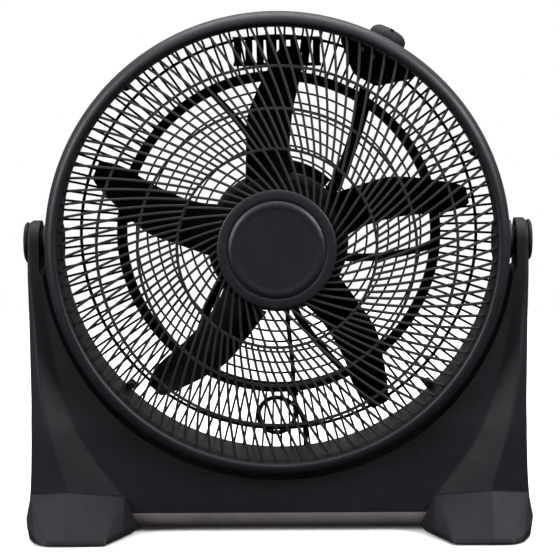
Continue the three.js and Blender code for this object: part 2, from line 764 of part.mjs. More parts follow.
function rotorCore() {
  const outline = ringOutline(SHAFT_R + GAP, ROTOR_R, STATOR_FRONT_Y + 0.5, STATOR_REAR_Y - 0.5);
  return part('rotor_core', turnedY(outline, 20), 'laminated');
}

function spinnerNut() {
  const outline = [
    [0, -64], [7, -62.5], [12, -58], [14, -50], [14, -44.3], [SHAFT_R + GAP, -44.3],
    [SHAFT_R + GAP, -58.3], [0, -58.3],
  ];
  return part('spinner_nut', turnedY(outline, 16), 'black');
}

function fanWheel() {
  const group = new THREE.Group();
  group.add(fanBlade(), rotorCore(), rotorShaft(), drivePin(), spinnerNut());
  return group;
}

// ---------------------------------------------------------------- speed switch

const BOX_OUTLINE = [[-48, 244], [-46, 232], [-14, 205], [14, 205], [46, 232], [48, 244]];
const BOX_HOLLOW = [
  [-45, 241.5], [-43.3, 233.4], [-13, 207.8], [13, 207.8], [43.3, 233.4], [45, 241.5],
];
const SWITCH_SCREWS = [[-20, 234], [-5, 233]];
const SWITCH_SCREW_HOLE_R = 1.8;
const BOX_REAR_Y = 48;
const BOX_FRONT_Y = 16.5;

function switchBox() {
  const hollow = pulledY(shapeOf(BOX_HOLLOW), BOX_FRONT_Y - WALL, BOX_REAR_Y - 2.5);
  const spindleHole = turnedZ(rodOutline(3.6, 235, 250), 16).translate(0, KNOB_Y, 0);
  const shell = solidOf(pulledY(shapeOf(BOX_OUTLINE), BOX_FRONT_Y, BOX_REAR_Y))
    .subtract(solidOf(hollow))
    .subtract(solidOf(spindleHole));
  return part('switch_box', shell, 'black');
}

function switchBoxCover() {
  let plate = solidOf(pulledY(shapeOf(BOX_OUTLINE), 13.7, BOX_FRONT_Y - GAP));
  for (const [x, z] of SWITCH_SCREWS) {
    plate = plate.subtract(drillY(SWITCH_SCREW_HOLE_R, x, z, 10, 20));
  }
  return part('switch_box_cover', plate, 'black');
}

function switchScrews() {
  return SWITCH_SCREWS.map(([x, z], i) => {
    const outline = [[0, 11], [3.5, 11], [3.5, 13.4], [1.5, 13.4], [1.5, 21], [0, 21]];
    const screw = part(`switch_screw_${i + 1}`, turnedY(outline, SMALL_SIDES), 'steel');
    screw.position.set(x, 0, z);
    return screw;
  });
}

function speedSwitch() {
  const group = new THREE.Group();
  group.rotation.y = rad(KNOB_ANGLE);
  group.add(switchBox(), switchBoxCover(), ...switchScrews());
  group.add(part('rotary_switch', block([-14, 14], [22, 42], [219, 241.2]), 'pale'));
  group.add(part('run_capacitor', block([18, 36], [22, 44], [229, 241.2]), 'pale'));

  const spindle = part('switch_spindle', turnedZ(rodOutline(3, 0, 20.4), 16), 'pale');
  spindle.position.set(0, KNOB_Y, 241.6);
  const height = KNOB_TOP - KNOB_BASE;
  const outline = [
    [3.3, 0], [KNOB_R, 0], [KNOB_R, 6], [20, 12], [14, height - 1.2], [0, height],
    [0, 9], [3.3, 9],
  ];
  const knob = part('speed_knob', turnedZ(outline, 24), 'charcoal');
  knob.position.set(0, KNOB_Y, KNOB_BASE);
  group.add(spindle, knob);
  return group;
}

// The channel that carries the wires from the motor to the switch box. It follows
// one arm of the rear grille on its inner face and dips forward at its outer end.
function wireChannel() {
  const [from, to] = [72, 198];
  const dipFrom = 170;
  const share = (r) => (r - from) / (to - from);
  const dip = (r) => 10 * Math.max(0, (r - dipFrom) / (to - dipFrom)) ** 1.5;
  const bar = swungBar({
    from,
    to,
    steps: 6,
    width: 14,
    depth: 7,
    angleAt: (r) => 31 + 21 * (1 - share(r)) ** 1.3,
    yAt: (r) => 64 + 3 * Math.sin(Math.PI * share(r)) - dip(r),
  });
  return part('wire_channel', bar, 'black');
}

// ------------------------------------------------------------------ mains lead

// The lead leaves the gland under the motor cover, runs down behind the grille to
// the clip below the thick ring, and is free from there on.
const GLAND = { x: 10, y: 89, top: -64.6, bottom: -88 };
const CLIP_X = 16;

function cordGland() {
  const outline = [
    [0, GLAND.bottom], [4.2, GLAND.bottom], [5.5, GLAND.top - 6], [8, GLAND.top - 5],
    [8, GLAND.top], [0, GLAND.top],
  ];
  const gland = part('cord_gland', turnedZ(outline, 20), 'black');
  gland.position.set(GLAND.x, GLAND.y, 0);
  return gland;
}

function supplyLead() {
  const route = [
    [GLAND.x, GLAND.y, GLAND.bottom - GAP], [GLAND.x, GLAND.y, -104], [12.5, 91, -130],
    [15, 93, -155], [CLIP_X, 94, -170], [CLIP_X, 94, -180],
  ];
  return part('supply_lead', tubeAlong(route, CORD_R, 8, 14), 'black');
}

// A block with a sloping lower rear face, where the free lead comes out.
function cordClip() {
  const side = shapeOf([
    [86.3, -180.3], [99, -180.3], [101, -186], [101, -189], [94, -196], [86.3, -196],
  ]);
  return part('cord_clip', pulledX(side, CLIP_X - 6, CLIP_X + 6), 'black');
}

// The free lead drops behind the grille, makes one small tied loop, and reaches
// the floor behind the stand, where the rest of it lies coiled.
const FREE_ROUTE = [
  [16, 97.8, -192.7], [16.4, 99.6, -196], [17, 101.8, -201.5], [17.7, 103.4, -208],
  [18, 104.3, -215], [18, 104.8, -222], [15, 104.8, -233], [7, 104.4, -241],
  [-4, 103.6, -244], [-15, 102.6, -241], [-23, 101.4, -233], [-26, 100.4, -222],
  [-23, 99.4, -211], [-15, 98.6, -203], [-4, 98, -200], [7, 97.5, -203],
  [17, 97, -209.5], [24.5, 96.6, -219], [28.8, 96.2, -231], [30.2, 95.6, -246],
  [30.6, 94.6, -265], [31.5, 93, -287], [34.5, 91.6, -305], [41, 90.7, -316.5],
  [50.5, 90.2, -322.3], [57, 90, -323.2], [62.5, 90, -323.2],
];

function powerCord() {
  return part('power_cord', tubeAlong(FREE_ROUTE, CORD_R, 8, 44), 'black');
}

function cordCoil() {
  const ring = turnedZ(ringOutline(COIL_INNER_R, COIL_OUTER_R, 0.05, COIL_HEIGHT), 32);
  const coil = part('cord_coil', ring, 'black');
  coil.position.set(COIL_X, COIL_Y, 0);
  return coil;
}

function cordTail() {
  const route = [[62.5, 15.5, 8.4], [58, 15.6, 8], [53, 16.4, 6.9], [48.4, 17.4, 6.1]];
  return part('cord_tail', tubeAlong(route, CORD_R, 8, 5), 'black');
}

function plug() {
  const plan = shapeOf([
    [47.2, 14], [47.2, 22], [30, 24], [22, 30], [14, 35],
    [4, 35], [4, 1], [14, 1], [22, 6], [30, 12],
  ]);
  return part('plug_body', pulledZ(plan, 0.1, 13), 'black');
}

function plugPins() {
  return [[8.7, 'front'], [27.3, 'rear']].map(([y, word]) => {
    const pin = part(`plug_pin_${word}`, turnedX(rodOutline(2, -15.5, 3.7), SMALL_SIDES), 'brass');
    pin.position.set(0, y, 6.5);
    return pin;
  });
}

// -------------------------------------------------------------------- assembly

function head() {
  const group = new THREE.Group();
  group.position.z = PIVOT_Z;
  group.add(drumRing(), ...rimScrews(), frontGrille(), grilleCap(), capDisc(), rearGrille());
  group.add(statorCore(), frontBracket(), rearBracket(), ...motorBolts(), rearCover());
  group.add(winding('front_winding', 16, STATOR_FRONT_Y - GAP));
  group.add(winding('rear_winding', STATOR_REAR_Y + GAP, 62));
  group.add(bush('front_bush', 8, 18), bush('rear_bush', 60, 70));
  group.add(speedSwitch(), wireChannel(), fanWheel());
  group.add(cordGland(), supplyLead(), cordClip(), powerCord());
  return group;
}

function fan() {
  const group = new THREE.Group();
  group.add(stand(), head(), cordCoil(), cordTail(), plug(), ...plugPins());
  return group;
}

export default fan();
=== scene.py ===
import json
import math

import bmesh
import bpy
from mathutils import Euler, Matrix, Vector


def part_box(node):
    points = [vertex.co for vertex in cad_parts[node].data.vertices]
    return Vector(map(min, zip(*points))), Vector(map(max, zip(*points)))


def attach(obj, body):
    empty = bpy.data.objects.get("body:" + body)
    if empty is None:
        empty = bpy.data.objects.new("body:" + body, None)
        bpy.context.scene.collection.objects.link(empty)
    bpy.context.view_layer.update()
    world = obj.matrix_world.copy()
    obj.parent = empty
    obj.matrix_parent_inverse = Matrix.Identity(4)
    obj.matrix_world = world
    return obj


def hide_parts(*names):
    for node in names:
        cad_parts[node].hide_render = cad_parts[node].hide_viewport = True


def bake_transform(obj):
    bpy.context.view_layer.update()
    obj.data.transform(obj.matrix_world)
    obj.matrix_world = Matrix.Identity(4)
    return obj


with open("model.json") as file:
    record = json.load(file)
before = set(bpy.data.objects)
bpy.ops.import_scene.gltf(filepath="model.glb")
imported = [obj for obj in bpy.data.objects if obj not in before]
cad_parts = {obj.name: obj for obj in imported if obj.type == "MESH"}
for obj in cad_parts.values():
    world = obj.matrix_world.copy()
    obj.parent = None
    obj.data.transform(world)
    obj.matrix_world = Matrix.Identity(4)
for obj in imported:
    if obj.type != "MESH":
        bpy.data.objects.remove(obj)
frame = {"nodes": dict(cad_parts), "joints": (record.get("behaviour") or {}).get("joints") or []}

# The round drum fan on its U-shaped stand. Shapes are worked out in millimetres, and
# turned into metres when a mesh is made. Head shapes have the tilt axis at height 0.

MM = 0.001
TAU = 2 * math.pi
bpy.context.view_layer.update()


# ------------------------------------------------------------- places from the frame

def joint(name):
    return next(j for j in frame["joints"] if j["name"] == name)


def low(node):
    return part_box(node)[0] / MM


def high(node):
    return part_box(node)[1] / MM


PIVOT_Z = joint("head_tilt")["pos_m"][2] / MM
BEZEL_R = high("drum_ring").z - PIVOT_Z
BEZEL_Y = low("drum_ring").y
DRUM_REAR_Y = high("drum_ring").y
BOSS_X = high("drum_ring").x
CAP_R = high("grille_cap").z - PIVOT_Z
CAP_FRONT_Y = low("grille_cap").y
DISC_FRONT_Y = low("cap_disc").y
FOOT_BASE_Z = low("left_foot").z
FOOT_TOP_Z = high("left_foot").z
ARM_OUT_X = high("stand_panel").x
ARM_TOP_Z = high("stand_panel").z
PIVOT_CAP_X = high("right_pivot_cap").x
KNOB = joint("knob_turn")
KNOB_ANGLE = math.atan2(-KNOB["axis"][0], -KNOB["axis"][2])
CUT_R = 265
BLADE_COUNT = 5
RIM_SCREWS = [f"rear_grille_screw_{k}" for k in (1, 2, 3, 4)]


# ------------------------------------------------------------------------- camera

def make_camera():
    data = bpy.data.cameras.new("camera")
    data.sensor_width = 36
    data.lens = 118
    camera = bpy.data.objects.new("camera", data)
    bpy.context.scene.collection.objects.link(camera)
    stand_off = Vector((0.026, -2.064, 0.560))
    aim = Vector((0.0022, 0, 0.2812))
    look = (aim - stand_off).to_track_quat("-Z", "Y")
    roll = Euler((0, 0, math.radians(-0.45))).to_quaternion()
    camera.rotation_mode = "QUATERNION"
    camera.location = stand_off
    camera.rotation_quaternion = look @ roll
    bpy.context.scene.camera = camera


make_camera()


# ---------------------------------------------------------------------- materials

def tone(red, green, blue):
    """A colour given in display values from 0 to 255."""
    return tuple((c / 255 / 12.92) if c < 10.3 else ((c / 255 + 0.055) / 1.055) ** 2.4
                 for c in (red, green, blue)) + (1,)


class Finish:
    """A material under construction: its nodes and the shader they feed."""

    def __init__(self, name):
        self.material = bpy.data.materials.new(name)
        self.material.use_nodes = True
        self.nodes = self.material.node_tree.nodes
        self.links = self.material.node_tree.links
        self.shader = self.nodes["Principled BSDF"]
        self.place = self.nodes.new("ShaderNodeTexCoord").outputs["Object"]
        self.normal = None

    def noise(self, size_mm, detail=3.0, stretch=None):
        """A noise whose features are about size_mm across."""
        node = self.nodes.new("ShaderNodeTexNoise")
        node.inputs["Scale"].default_value = 1 / (size_mm * MM)
        node.inputs["Detail"].default_value = detail
        source = self.place
        if stretch:
            mapping = self.nodes.new("ShaderNodeMapping")
            mapping.inputs["Scale"].default_value = stretch
            self.links.new(source, mapping.inputs["Vector"])
            source = mapping.outputs["Vector"]
        self.links.new(source, node.inputs["Vector"])
        return node.outputs["Fac"]

    def ramp(self, source, start, end, low_value, high_value):
        node = self.nodes.new("ShaderNodeMapRange")
        for name, value in (("From Min", start), ("From Max", end),
                            ("To Min", low_value), ("To Max", high_value)):
            node.inputs[name].default_value = value
        self.links.new(source, node.inputs["Value"])
        return node.outputs["Result"]

    def colour(self, source, dark, light):
        node = self.nodes.new("ShaderNodeMix")
        node.data_type = "RGBA"
        node.inputs["A"].default_value = dark
        node.inputs["B"].default_value = light
        self.links.new(source, node.inputs["Factor"])
        self.links.new(node.outputs["Result"], self.shader.inputs["Base Color"])

    def roughness(self, source):
        self.links.new(source, self.shader.inputs["Roughness"])

    def bump(self, source, depth_mm, strength=1.0):
        node = self.nodes.new("ShaderNodeBump")
        node.inputs["Strength"].default_value = strength
        node.inputs["Distance"].default_value = depth_mm * MM
        self.links.new(source, node.inputs["Height"])
        if self.normal:
            self.links.new(self.normal, node.inputs["Normal"])
        self.normal = node.outputs["Normal"]
        self.links.new(self.normal, self.shader.inputs["Normal"])


def moulded(name, dark, light, rough, grain_mm=0.7, grain_depth=0.03, flow=None, gloss=0.2):
    """Moulded plastic: a fine eroded grain, slow changes of tone and gloss, and,
    where flow is given, faint streaks from the way it filled its mould."""
    made = Finish(name)
    slow = made.noise(60, 2, flow)
    grain = made.noise(grain_mm, 4)
    made.colour(made.ramp(slow, 0.3, 0.7, 0, 1), dark, light)
    made.roughness(made.ramp(made.noise(9, 5, flow), 0.3, 0.7, rough - 0.05, rough + 0.06))
    made.bump(made.ramp(grain, 0.3, 0.7, 0, 1), grain_depth)
    made.bump(made.noise(14, 2), 0.12, 0.35)
    made.shader.inputs["Specular IOR Level"].default_value = gloss
    return made.material


def metal(name, dark, light, rough, stretch=None, size_mm=0.5, depth=0.02):
    """Metal with a directional or a cast grain."""
    made = Finish(name)
    grain = made.noise(size_mm, 4, stretch)
    made.colour(made.ramp(made.noise(6, 4, stretch), 0.3, 0.7, 0, 1), dark, light)
    made.roughness(made.ramp(grain, 0.25, 0.75, rough - 0.08, rough + 0.1))
    made.bump(grain, depth)
    made.shader.inputs["Metallic"].default_value = 1.0
    return made.material


def banded(name, dark, light, rough, pitch_mm, direction, metallic):
    """A stack or a winding: fine bands along one direction."""
    made = Finish(name)
    wave = made.nodes.new("ShaderNodeTexWave")
    wave.bands_direction = direction
    wave.inputs["Scale"].default_value = 0.314 / (pitch_mm * MM)
    wave.inputs["Distortion"].default_value = 0.6
    wave.inputs["Detail"].default_value = 2
    made.links.new(made.place, wave.inputs["Vector"])
    made.colour(wave.outputs["Fac"], dark, light)
    made.roughness(made.ramp(made.noise(3, 3), 0.3, 0.7, rough - 0.06, rough + 0.08))
    made.bump(wave.outputs["Fac"], 0.15)
    made.shader.inputs["Metallic"].default_value = metallic
    return made.material


# The bottom band's rolled, fluted underside: the stand's own dark plastic, painted much lighter as a
# painted reflection of the pale floor below it.
STRIP_PAINTED_REFLECTION = moulded("ribbed_strip_painted_reflection", tone(101, 94, 96), tone(113, 105, 108), 0.6, 0.8, 0.05)
STAND = moulded("stand_plastic", tone(24, 22, 26), tone(30, 27, 32), 0.52, 0.8, 0.05, None, 0.15)
HEAD = moulded("head_plastic", tone(25, 23, 28), tone(30, 27, 33), 0.42, 0.6, 0.03, None, 0.3)
GRILLE = moulded("grille_plastic", tone(34, 32, 33), tone(42, 40, 41), 0.45, 0.5, 0.02)
BLACK = moulded("black_plastic", tone(3, 3, 3), tone(6, 5, 5), 0.5, 0.6, 0.03, None, 0.08)
BLADE = moulded("blade_plastic", tone(3, 3, 3), tone(6, 5, 5), 0.42, 0.6, 0.012, (1, 1, 3), 0.08)
RUBBER = moulded("pad_rubber", tone(14, 14, 14), tone(24, 24, 24), 0.8, 0.4, 0.06)
SHEATH = moulded("cord_sheath", tone(12, 12, 13), tone(18, 18, 19), 0.4, 0.5, 0.01)
PALE = moulded("pale_plastic", tone(196, 190, 176), tone(212, 207, 195), 0.42, 0.5, 0.02)
TIE = moulded("tie_plastic", tone(150, 148, 146), tone(178, 176, 172), 0.4, 0.5, 0.02)
STEEL = metal("zinc_steel", tone(128, 128, 130), tone(168, 168, 170), 0.34, (1, 12, 1))
CAST = metal("cast_aluminium", tone(140, 141, 144), tone(176, 177, 180), 0.5, None, 0.6, 0.08)
BRONZE = metal("bush_bronze", tone(120, 90, 46), tone(158, 122, 66), 0.45, None, 0.3, 0.04)
BRASS = metal("pin_brass", tone(176, 140, 70), tone(206, 172, 96), 0.25, (12, 1, 1))
CORE = banded("laminated_steel", tone(52, 52, 54), tone(104, 104, 108), 0.45, 0.7, "Y", 0.9)
COPPER = banded("winding_copper", tone(96, 38, 16), tone(170, 84, 44), 0.4, 0.9, "DIAGONAL", 0.9)


# ------------------------------------------------------------------------- shapes

class Shape:
    """Points in millimetres and the faces between them, gathered from rows."""

    def __init__(self):
        self.points = []
        self.faces = []

    def rows(self, rows, around=False, loop=False, caps=False):
        """Joins rows of points. around closes each row on itself, loop joins the last
        row to the first, and caps fills the first and the last row."""
        first = len(self.points)
        count = len(rows[0])
        for row in rows:
            self.points.extend(row)
        for i in range(len(rows) if loop else len(rows) - 1):
            a = first + i * count
            b = first + (i + 1) % len(rows) * count
            for j in range(count if around else count - 1):
                k = (j + 1) % count
                self.faces.append((a + j, a + k, b + k, b + j))
        if caps:
            last = first + (len(rows) - 1) * count
            self.faces.append(tuple(first + j for j in reversed(range(count))))
            self.faces.append(tuple(last + j for j in range(count)))
        return self

    def merge(self, other):
        first = len(self.points)
        self.points.extend(other.points)
        self.faces.extend(tuple(first + i for i in face) for face in other.faces)
        return self

    def moved(self, matrix):
        self.points = [tuple(matrix @ Vector(p)) for p in self.points]
        return self


def rounded(before, corner, after, radius, steps):
    """The points that round off a corner, at most radius along each side."""
    here = Vector(corner)
    back = Vector(before) - here
    on = Vector(after) - here
    start = here + back * min(0.45, radius / max(back.length, 1e-6))
    end = here + on * min(0.45, radius / max(on.length, 1e-6))
    made = []
    for k in range(steps + 1):
        t = k / steps
        made.append(tuple(start * (1 - t) ** 2 + here * 2 * t * (1 - t) + end * t * t))
    return made


def eased(outline, radius, steps=3, closed=True):
    """The outline with each corner rounded off, and its ends kept where it is open."""
    count = len(outline)
    made = []
    for i, corner in enumerate(outline):
        if not closed and i in (0, count - 1):
            made.append(tuple(corner))
        else:
            made.extend(rounded(outline[i - 1], corner, outline[(i + 1) % count], radius, steps))
    return made


def about_y(r, h, angle):
    return (r * math.sin(angle), h, r * math.cos(angle))


def about_x(r, h, angle):
    return (h, r * math.sin(angle), r * math.cos(angle))


def about_z(r, h, angle):
    return (r * math.sin(angle), -r * math.cos(angle), h)


def lathe(outline, sides, place=about_y, closed=True):
    """A turned body. The outline is [radius, height] and is closed, or open with both
    ends on the axis."""
    rows = [[place(r, h, TAU * i / sides) for r, h in outline] for i in range(sides)]
    return Shape().rows(rows, around=closed, loop=True)


def ring(inner, outer, front, rear, ease=0.8, sides=160, place=about_y):
    """A turned ring between two radii and two heights, with eased corners."""
    outline = eased([(inner, front), (outer, front), (outer, rear), (inner, rear)], ease)
    return lathe(outline, sides, place)


def bar(places, widths, depth, ease=0.6):
    """A rib through places. It lies broad side to the front, widths gives its width at
    each place, and depth is its size along Y."""
    points = [Vector(p) for p in places]
    rows = []
    for i, here in enumerate(points):
        along = points[min(i + 1, len(points) - 1)] - points[max(i - 1, 0)]
        side = along.cross(Vector((0, 1, 0))).normalized()
        half = widths[i] / 2
        section = eased([(-half, -depth / 2), (half, -depth / 2),
                         (half, depth / 2), (-half, depth / 2)], ease, 1)
        rows.append([tuple(here + side * u + Vector((0, v, 0))) for u, v in section])
    return Shape().rows(rows, around=True, caps=True)


def spoke(start, end, steps, width, depth, angle_at, y_at, ease=0.6):
    """A rib that runs outwards from radius start to end in the head."""
    places = []
    for i in range(steps + 1):
        r = start + (end - start) * i / steps
        places.append(about_y(r, y_at(r), angle_at(r)))
    widths = [width(i / steps) if callable(width) else width for i in range(steps + 1)]
    return bar(places, widths, depth, ease)


def curve_through(points, per_step=6):
    """A smooth curve through the points."""
    known = [Vector(p) for p in points]
    known = [known[0] * 2 - known[1], *known, known[-1] * 2 - known[-2]]
    made = []
    for i in range(1, len(known) - 2):
        a, b, c, d = known[i - 1:i + 3]
        for k in range(per_step):
            t = k / per_step
            made.append(0.5 * (2 * b + (c - a) * t + (2 * a - 5 * b + 4 * c - d) * t ** 2
                               + (3 * b - a - 3 * c + d) * t ** 3))
    return [*made, known[-2]]


def tube(path, radius, sides=12):
    """A round tube along a path, turned as little as possible on the way."""
    points = [Vector(p) for p in path]
    rows = []
    side = None
    for i, here in enumerate(points):
        along = (points[min(i + 1, len(points) - 1)] - points[max(i - 1, 0)]).normalized()
        side = along.orthogonal() if side is None else side - along * side.dot(along)
        side.normalize()
        across = along.cross(side)
        rows.append([tuple(here + (side * math.cos(TAU * k / sides)
                                   + across * math.sin(TAU * k / sides)) * radius)
                     for k in range(sides)])
    return Shape().rows(rows, around=True, caps=True)


def prism(outline, low_end, high_end, place):
    """A flat outline pulled from low_end to high_end. place takes u, v and height."""
    rows = [[place(u, v, h) for u, v in outline] for h in (low_end, high_end)]
    return Shape().rows(rows, around=True, caps=True)


def piece(name, shape, body, material, replaces=(), lift=0.0, sharp=32, recalc=True):
    """Makes the mesh, gives it its material, and lets it ride on its body. A body
    given as None leaves the piece free, for one that bends between two bodies."""
    mesh = bpy.data.meshes.new(name)
    corners = [(x * MM, y * MM, (z + lift) * MM) for x, y, z in shape.points]
    mesh.from_pydata(corners, [], shape.faces)
    work = bmesh.new()
    work.from_mesh(mesh)
    bmesh.ops.remove_doubles(work, verts=work.verts, dist=2e-6)
    bmesh.ops.dissolve_degenerate(work, edges=work.edges, dist=1e-6)
    if recalc:
        bmesh.ops.recalc_face_normals(work, faces=work.faces)
    work.to_mesh(mesh)
    work.free()
    mesh.materials.append(material)
    smooth(mesh, sharp)
    obj = bpy.data.objects.new(name, mesh)
    bpy.context.scene.collection.objects.link(obj)
    if body:
        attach(obj, body)
    if replaces:
        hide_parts(*replaces)
    return obj


def smooth(mesh, sharp):
    mesh.polygons.foreach_set("use_smooth", [True] * len(mesh.polygons))
    mesh.set_sharp_from_angle(angle=math.radians(sharp))


def soften(obj, width, segments=3, angle=28):
    """Rounds the piece's edges."""
    bevel = obj.modifiers.new("soften", "BEVEL")
    bevel.width = width * MM
    bevel.segments = segments
    bevel.limit_method = "ANGLE"
    bevel.angle_limit = math.radians(angle)
    bevel.harden_normals = True
    return obj


def keep(node, material, sharp=40):
    """A CAD node that stays in view, with its own material."""
    obj = frame["nodes"][node]
    obj.data.materials.clear()
    obj.data.materials.append(material)
    smooth(obj.data, sharp)


# --------------------------------------------------------------------- mains lead

CORD_R = 2.75
COIL_CENTRE = (84, 52.75)
COIL_MID_R = 31.5
COIL_PITCH = 5.75
LAYER_RISE = 5.6
COIL_TURNS = 5.5
SHIFT_TURN = 0.11

# From the clip on the rear grille through one small tied loop to the floor.
FREE_ROUTE = [
    (16, 97.8, -192.7), (16.4, 99.6, -196), (17, 101.8, -201.5), (17.7, 103.4, -208),
    (18, 104.3, -215), (18, 104.8, -222), (15, 104.8, -233), (7, 104.4, -241),
    (-4, 103.6, -244), (-15, 102.6, -241), (-23, 101.4, -233), (-26, 100.4, -222),
    (-23, 99.4, -211), (-15, 98.6, -203), (-4, 98, -200), (7, 97.5, -203),
    (17, 97, -209.5), (24.5, 96.6, -219), (28.8, 96.2, -231), (30.2, 95.6, -246),
    (30.6, 94.6, -265), (31.5, 93, -287), (34.5, 91.6, -305), (41, 90.7, -316.5),
    (50.5, 90.2, -322.3), (57, 90, -323.2), (62.5, 90, -323.2),
]
TAIL_ROUTE = [(62.5, 15.5, 8.4), (58, 15.6, 8), (53, 16.2, 6.9), (49, 17, 6), (45, 17.6, 5.8)]


def eased_step(t, start):
    share = min(1, max(0, (t - start) / SHIFT_TURN))
    return share * share * (3 - 2 * share)


def coil_turns():
    """Two layers, three turns wide. The cord shifts to its next place within a short
    stretch of a turn, first inwards along the floor and then outwards on top."""
    per_turn = 60
    inward = [0.95, 1.95]
    climb = 2.80
    outward = [3.65, 4.65]
    made = []
    for i in range(int(COIL_TURNS * per_turn) + 1):
        t = i / per_turn
        steps_in = sum(eased_step(t, s) for s in inward)
        steps_out = sum(eased_step(t, s) for s in outward)
        radius = COIL_MID_R + COIL_PITCH * (1 - steps_in + steps_out)
        height = CORD_R + 0.05 + LAYER_RISE * eased_step(t, climb)
        angle = math.pi / 2 - TAU * t
        made.append(Vector((COIL_CENTRE[0] + radius * math.cos(angle),
                            COIL_CENTRE[1] + radius * math.sin(angle), height)))
    return made


def cord_path():
    """The free lead from its clip, down and round the coil, to the plug."""
    drop = [(x, y, z + PIVOT_Z) for x, y, z in FREE_ROUTE]
    lead_in = curve_through([*drop, (73, 90, 2.8), (84, 90, 2.8)], 5)
    tail = curve_through(TAIL_ROUTE, 5)
    coil = coil_turns()
    return [*lead_in[:-1], *coil, (coil[-1] + tail[0]) / 2, *tail]


def mains_lead():
    path = cord_path()
    cord = piece("mains_lead", tube(path, CORD_R, 12), None, SHEATH,
                 ("power_cord", "cord_coil", "cord_tail"))
    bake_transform(cord)
    plug = plug_piece()
    around = [TAU * k / 16 for k in range(17)]
    hoop = [(16.4 + 5.4 * math.cos(turn), 100.2 + 6.6 * math.sin(turn), PIVOT_Z - 207.5)
            for turn in around]
    tie = piece("loop_tie", tube(curve_through(hoop, 2), 0.9, 8), None, TIE)
    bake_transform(tie)


def plug_piece():
    plan = eased([(47.2, 14.6), (47.2, 21.4), (36, 22.6), (29, 25), (22, 31), (14, 35),
                  (4, 35), (4, 1), (14, 1), (22, 5), (29, 11), (36, 13.4)], 3)
    shape = prism(plan, 0.1, 13, lambda u, v, h: (u, v, h))
    for x in (33, 37, 41):
        shape.merge(ring(3.5, 6.1 - (x - 33) * 0.12, x, x + 2, 0.5, 24, about_x).moved(
            Matrix.Translation((0, 18, 6.5))))
    plug = piece("plug", shape, "stand", SHEATH, ("plug_body",))
    for node in ("plug_pin_front", "plug_pin_rear"):
        keep(node, BRASS)
    return soften(plug, 1.6)


mains_lead()


# -------------------------------------------------------------------------- drum

def drum():
    outline = [
        (242, -61.3), (242, -66), (244.4, BEZEL_Y), (249, BEZEL_Y + 0.4), (253.4, BEZEL_Y + 3.4),
        (256.3, -60), (BEZEL_R, -53), (256.5, -47.6), (252.6, -46), (252.6, 44), (253.6, 45),
        (253.6, DRUM_REAR_Y), (249.5, DRUM_REAR_Y), (249.5, -61.3),
    ]
    shape = lathe(eased(outline, 2.2), 288)
    for side in (-1, 1):
        boss = eased([(4.4, side * 243), (22, side * 243), (22, side * BOSS_X), (4.4, side * BOSS_X)], 1)
        shape.merge(lathe(boss, 64, about_x))
    for node in RIM_SCREWS:
        middle = (low(node) + high(node)) / 2
        post = ring(1.9, 4, 34, DRUM_REAR_Y, 0.5, 24)
        shape.merge(post.moved(Matrix.Translation((middle.x, 0, middle.z - PIVOT_Z))))
    piece("drum", shape, "head", HEAD, ("drum_ring",), PIVOT_Z)


# ------------------------------------------------------------------ front grille

FRONT_RINGS = (109, 152.5, 198)
RIM_R = 241
OUTER_RIBS = 100
INNER_RIBS = 50


def front_y(r):
    """The front grille's crown: its middle line at radius r."""
    return -82 + 22 * (r / RIM_R) ** 2.5


def rib_swing(r, start=62.0, steps=48):
    """The angle a rib has swung by, from radius start to r. It leans most near the cap."""
    size = (r - start) / steps
    total = 0.0
    for i in range(steps):
        here = start + (i + 0.5) * size
        total -= (0.37 + 0.35 * math.exp(-(here - 68) / 33)) / here * size
    return total


def front_grille():
    shape = Shape()
    for r in FRONT_RINGS:
        y = front_y(r)
        shape.merge(ring(r - 1.6, r + 1.6, y - 1.6, y + 2.2, 0.7, 200))
    shape.merge(ring(RIM_R - 1.4, 249.2, -61.2, -53, 0.8, 240))
    shape.merge(ring(4, 62.5, -84.4, -79.5, 0.8, 96))
    outer_start = math.radians(-0.3) - rib_swing(114)
    inner_start = math.radians(2.25) - rib_swing(99)
    for i in range(OUTER_RIBS):
        turn = outer_start + TAU * i / OUTER_RIBS
        shape.merge(spoke(FRONT_RINGS[0], RIM_R, 14, 2.7, 5, lambda r: turn + rib_swing(r), front_y))
    for i in range(INNER_RIBS):
        turn = inner_start + TAU * i / INNER_RIBS
        shape.merge(spoke(58, FRONT_RINGS[0], 8, 2.6, 5, lambda r: turn + rib_swing(r), front_y))
    piece("front_grille_spiral", shape, "head", GRILLE, ("front_grille",), PIVOT_Z)


def grille_cap():
    y = CAP_FRONT_Y
    outline = [(0, -84.8), (63.6, -84.8), (CAP_R, -85.9), (64.6, y + 0.9), (61, y + 0.2), (56.5, y),
               (54.2, y + 0.6), (53.4, y + 1.6), (0, y + 1.6)]
    shape = lathe(eased(outline, 1.2, 3, False), 160, closed=False)
    piece("grille_cap_shell", shape, "head", HEAD, ("grille_cap",), PIVOT_Z)
    front = DISC_FRONT_Y
    disc = [(0, -87), (53, -87), (53.2, -87.9), (50.2, front + 0.5), (48.6, front), (46, front + 0.1),
            (43, front + 0.6), (0, front + 0.7)]
    shape = lathe(eased(disc, 0.8, 4, False), 160, closed=False)
    piece("cap_centre_disc", shape, "head", HEAD, ("cap_disc",), PIVOT_Z)


# ------------------------------------------------------------------- rear grille

THICK_R = 184
REAR_HUB_R = 66
THIN_R = 230
REAR_RIM_R = 250
REAR_BARS = 140
ARMS = 6


def rear_y(r):
    """The rear grille's middle line at radius r, nearly flat out to the thick ring."""
    if r <= THICK_R:
        return 76 + 6 * (r - REAR_HUB_R) / (THICK_R - REAR_HUB_R)
    return 82 - 28 * ((r - THICK_R) / (REAR_RIM_R - THICK_R)) ** 1.3


def arm_angle(r):
    share = min(1, (r - REAR_HUB_R) / (THICK_R - REAR_HUB_R))
    return math.radians(35 + 18 * (1 - share) ** 1.2)


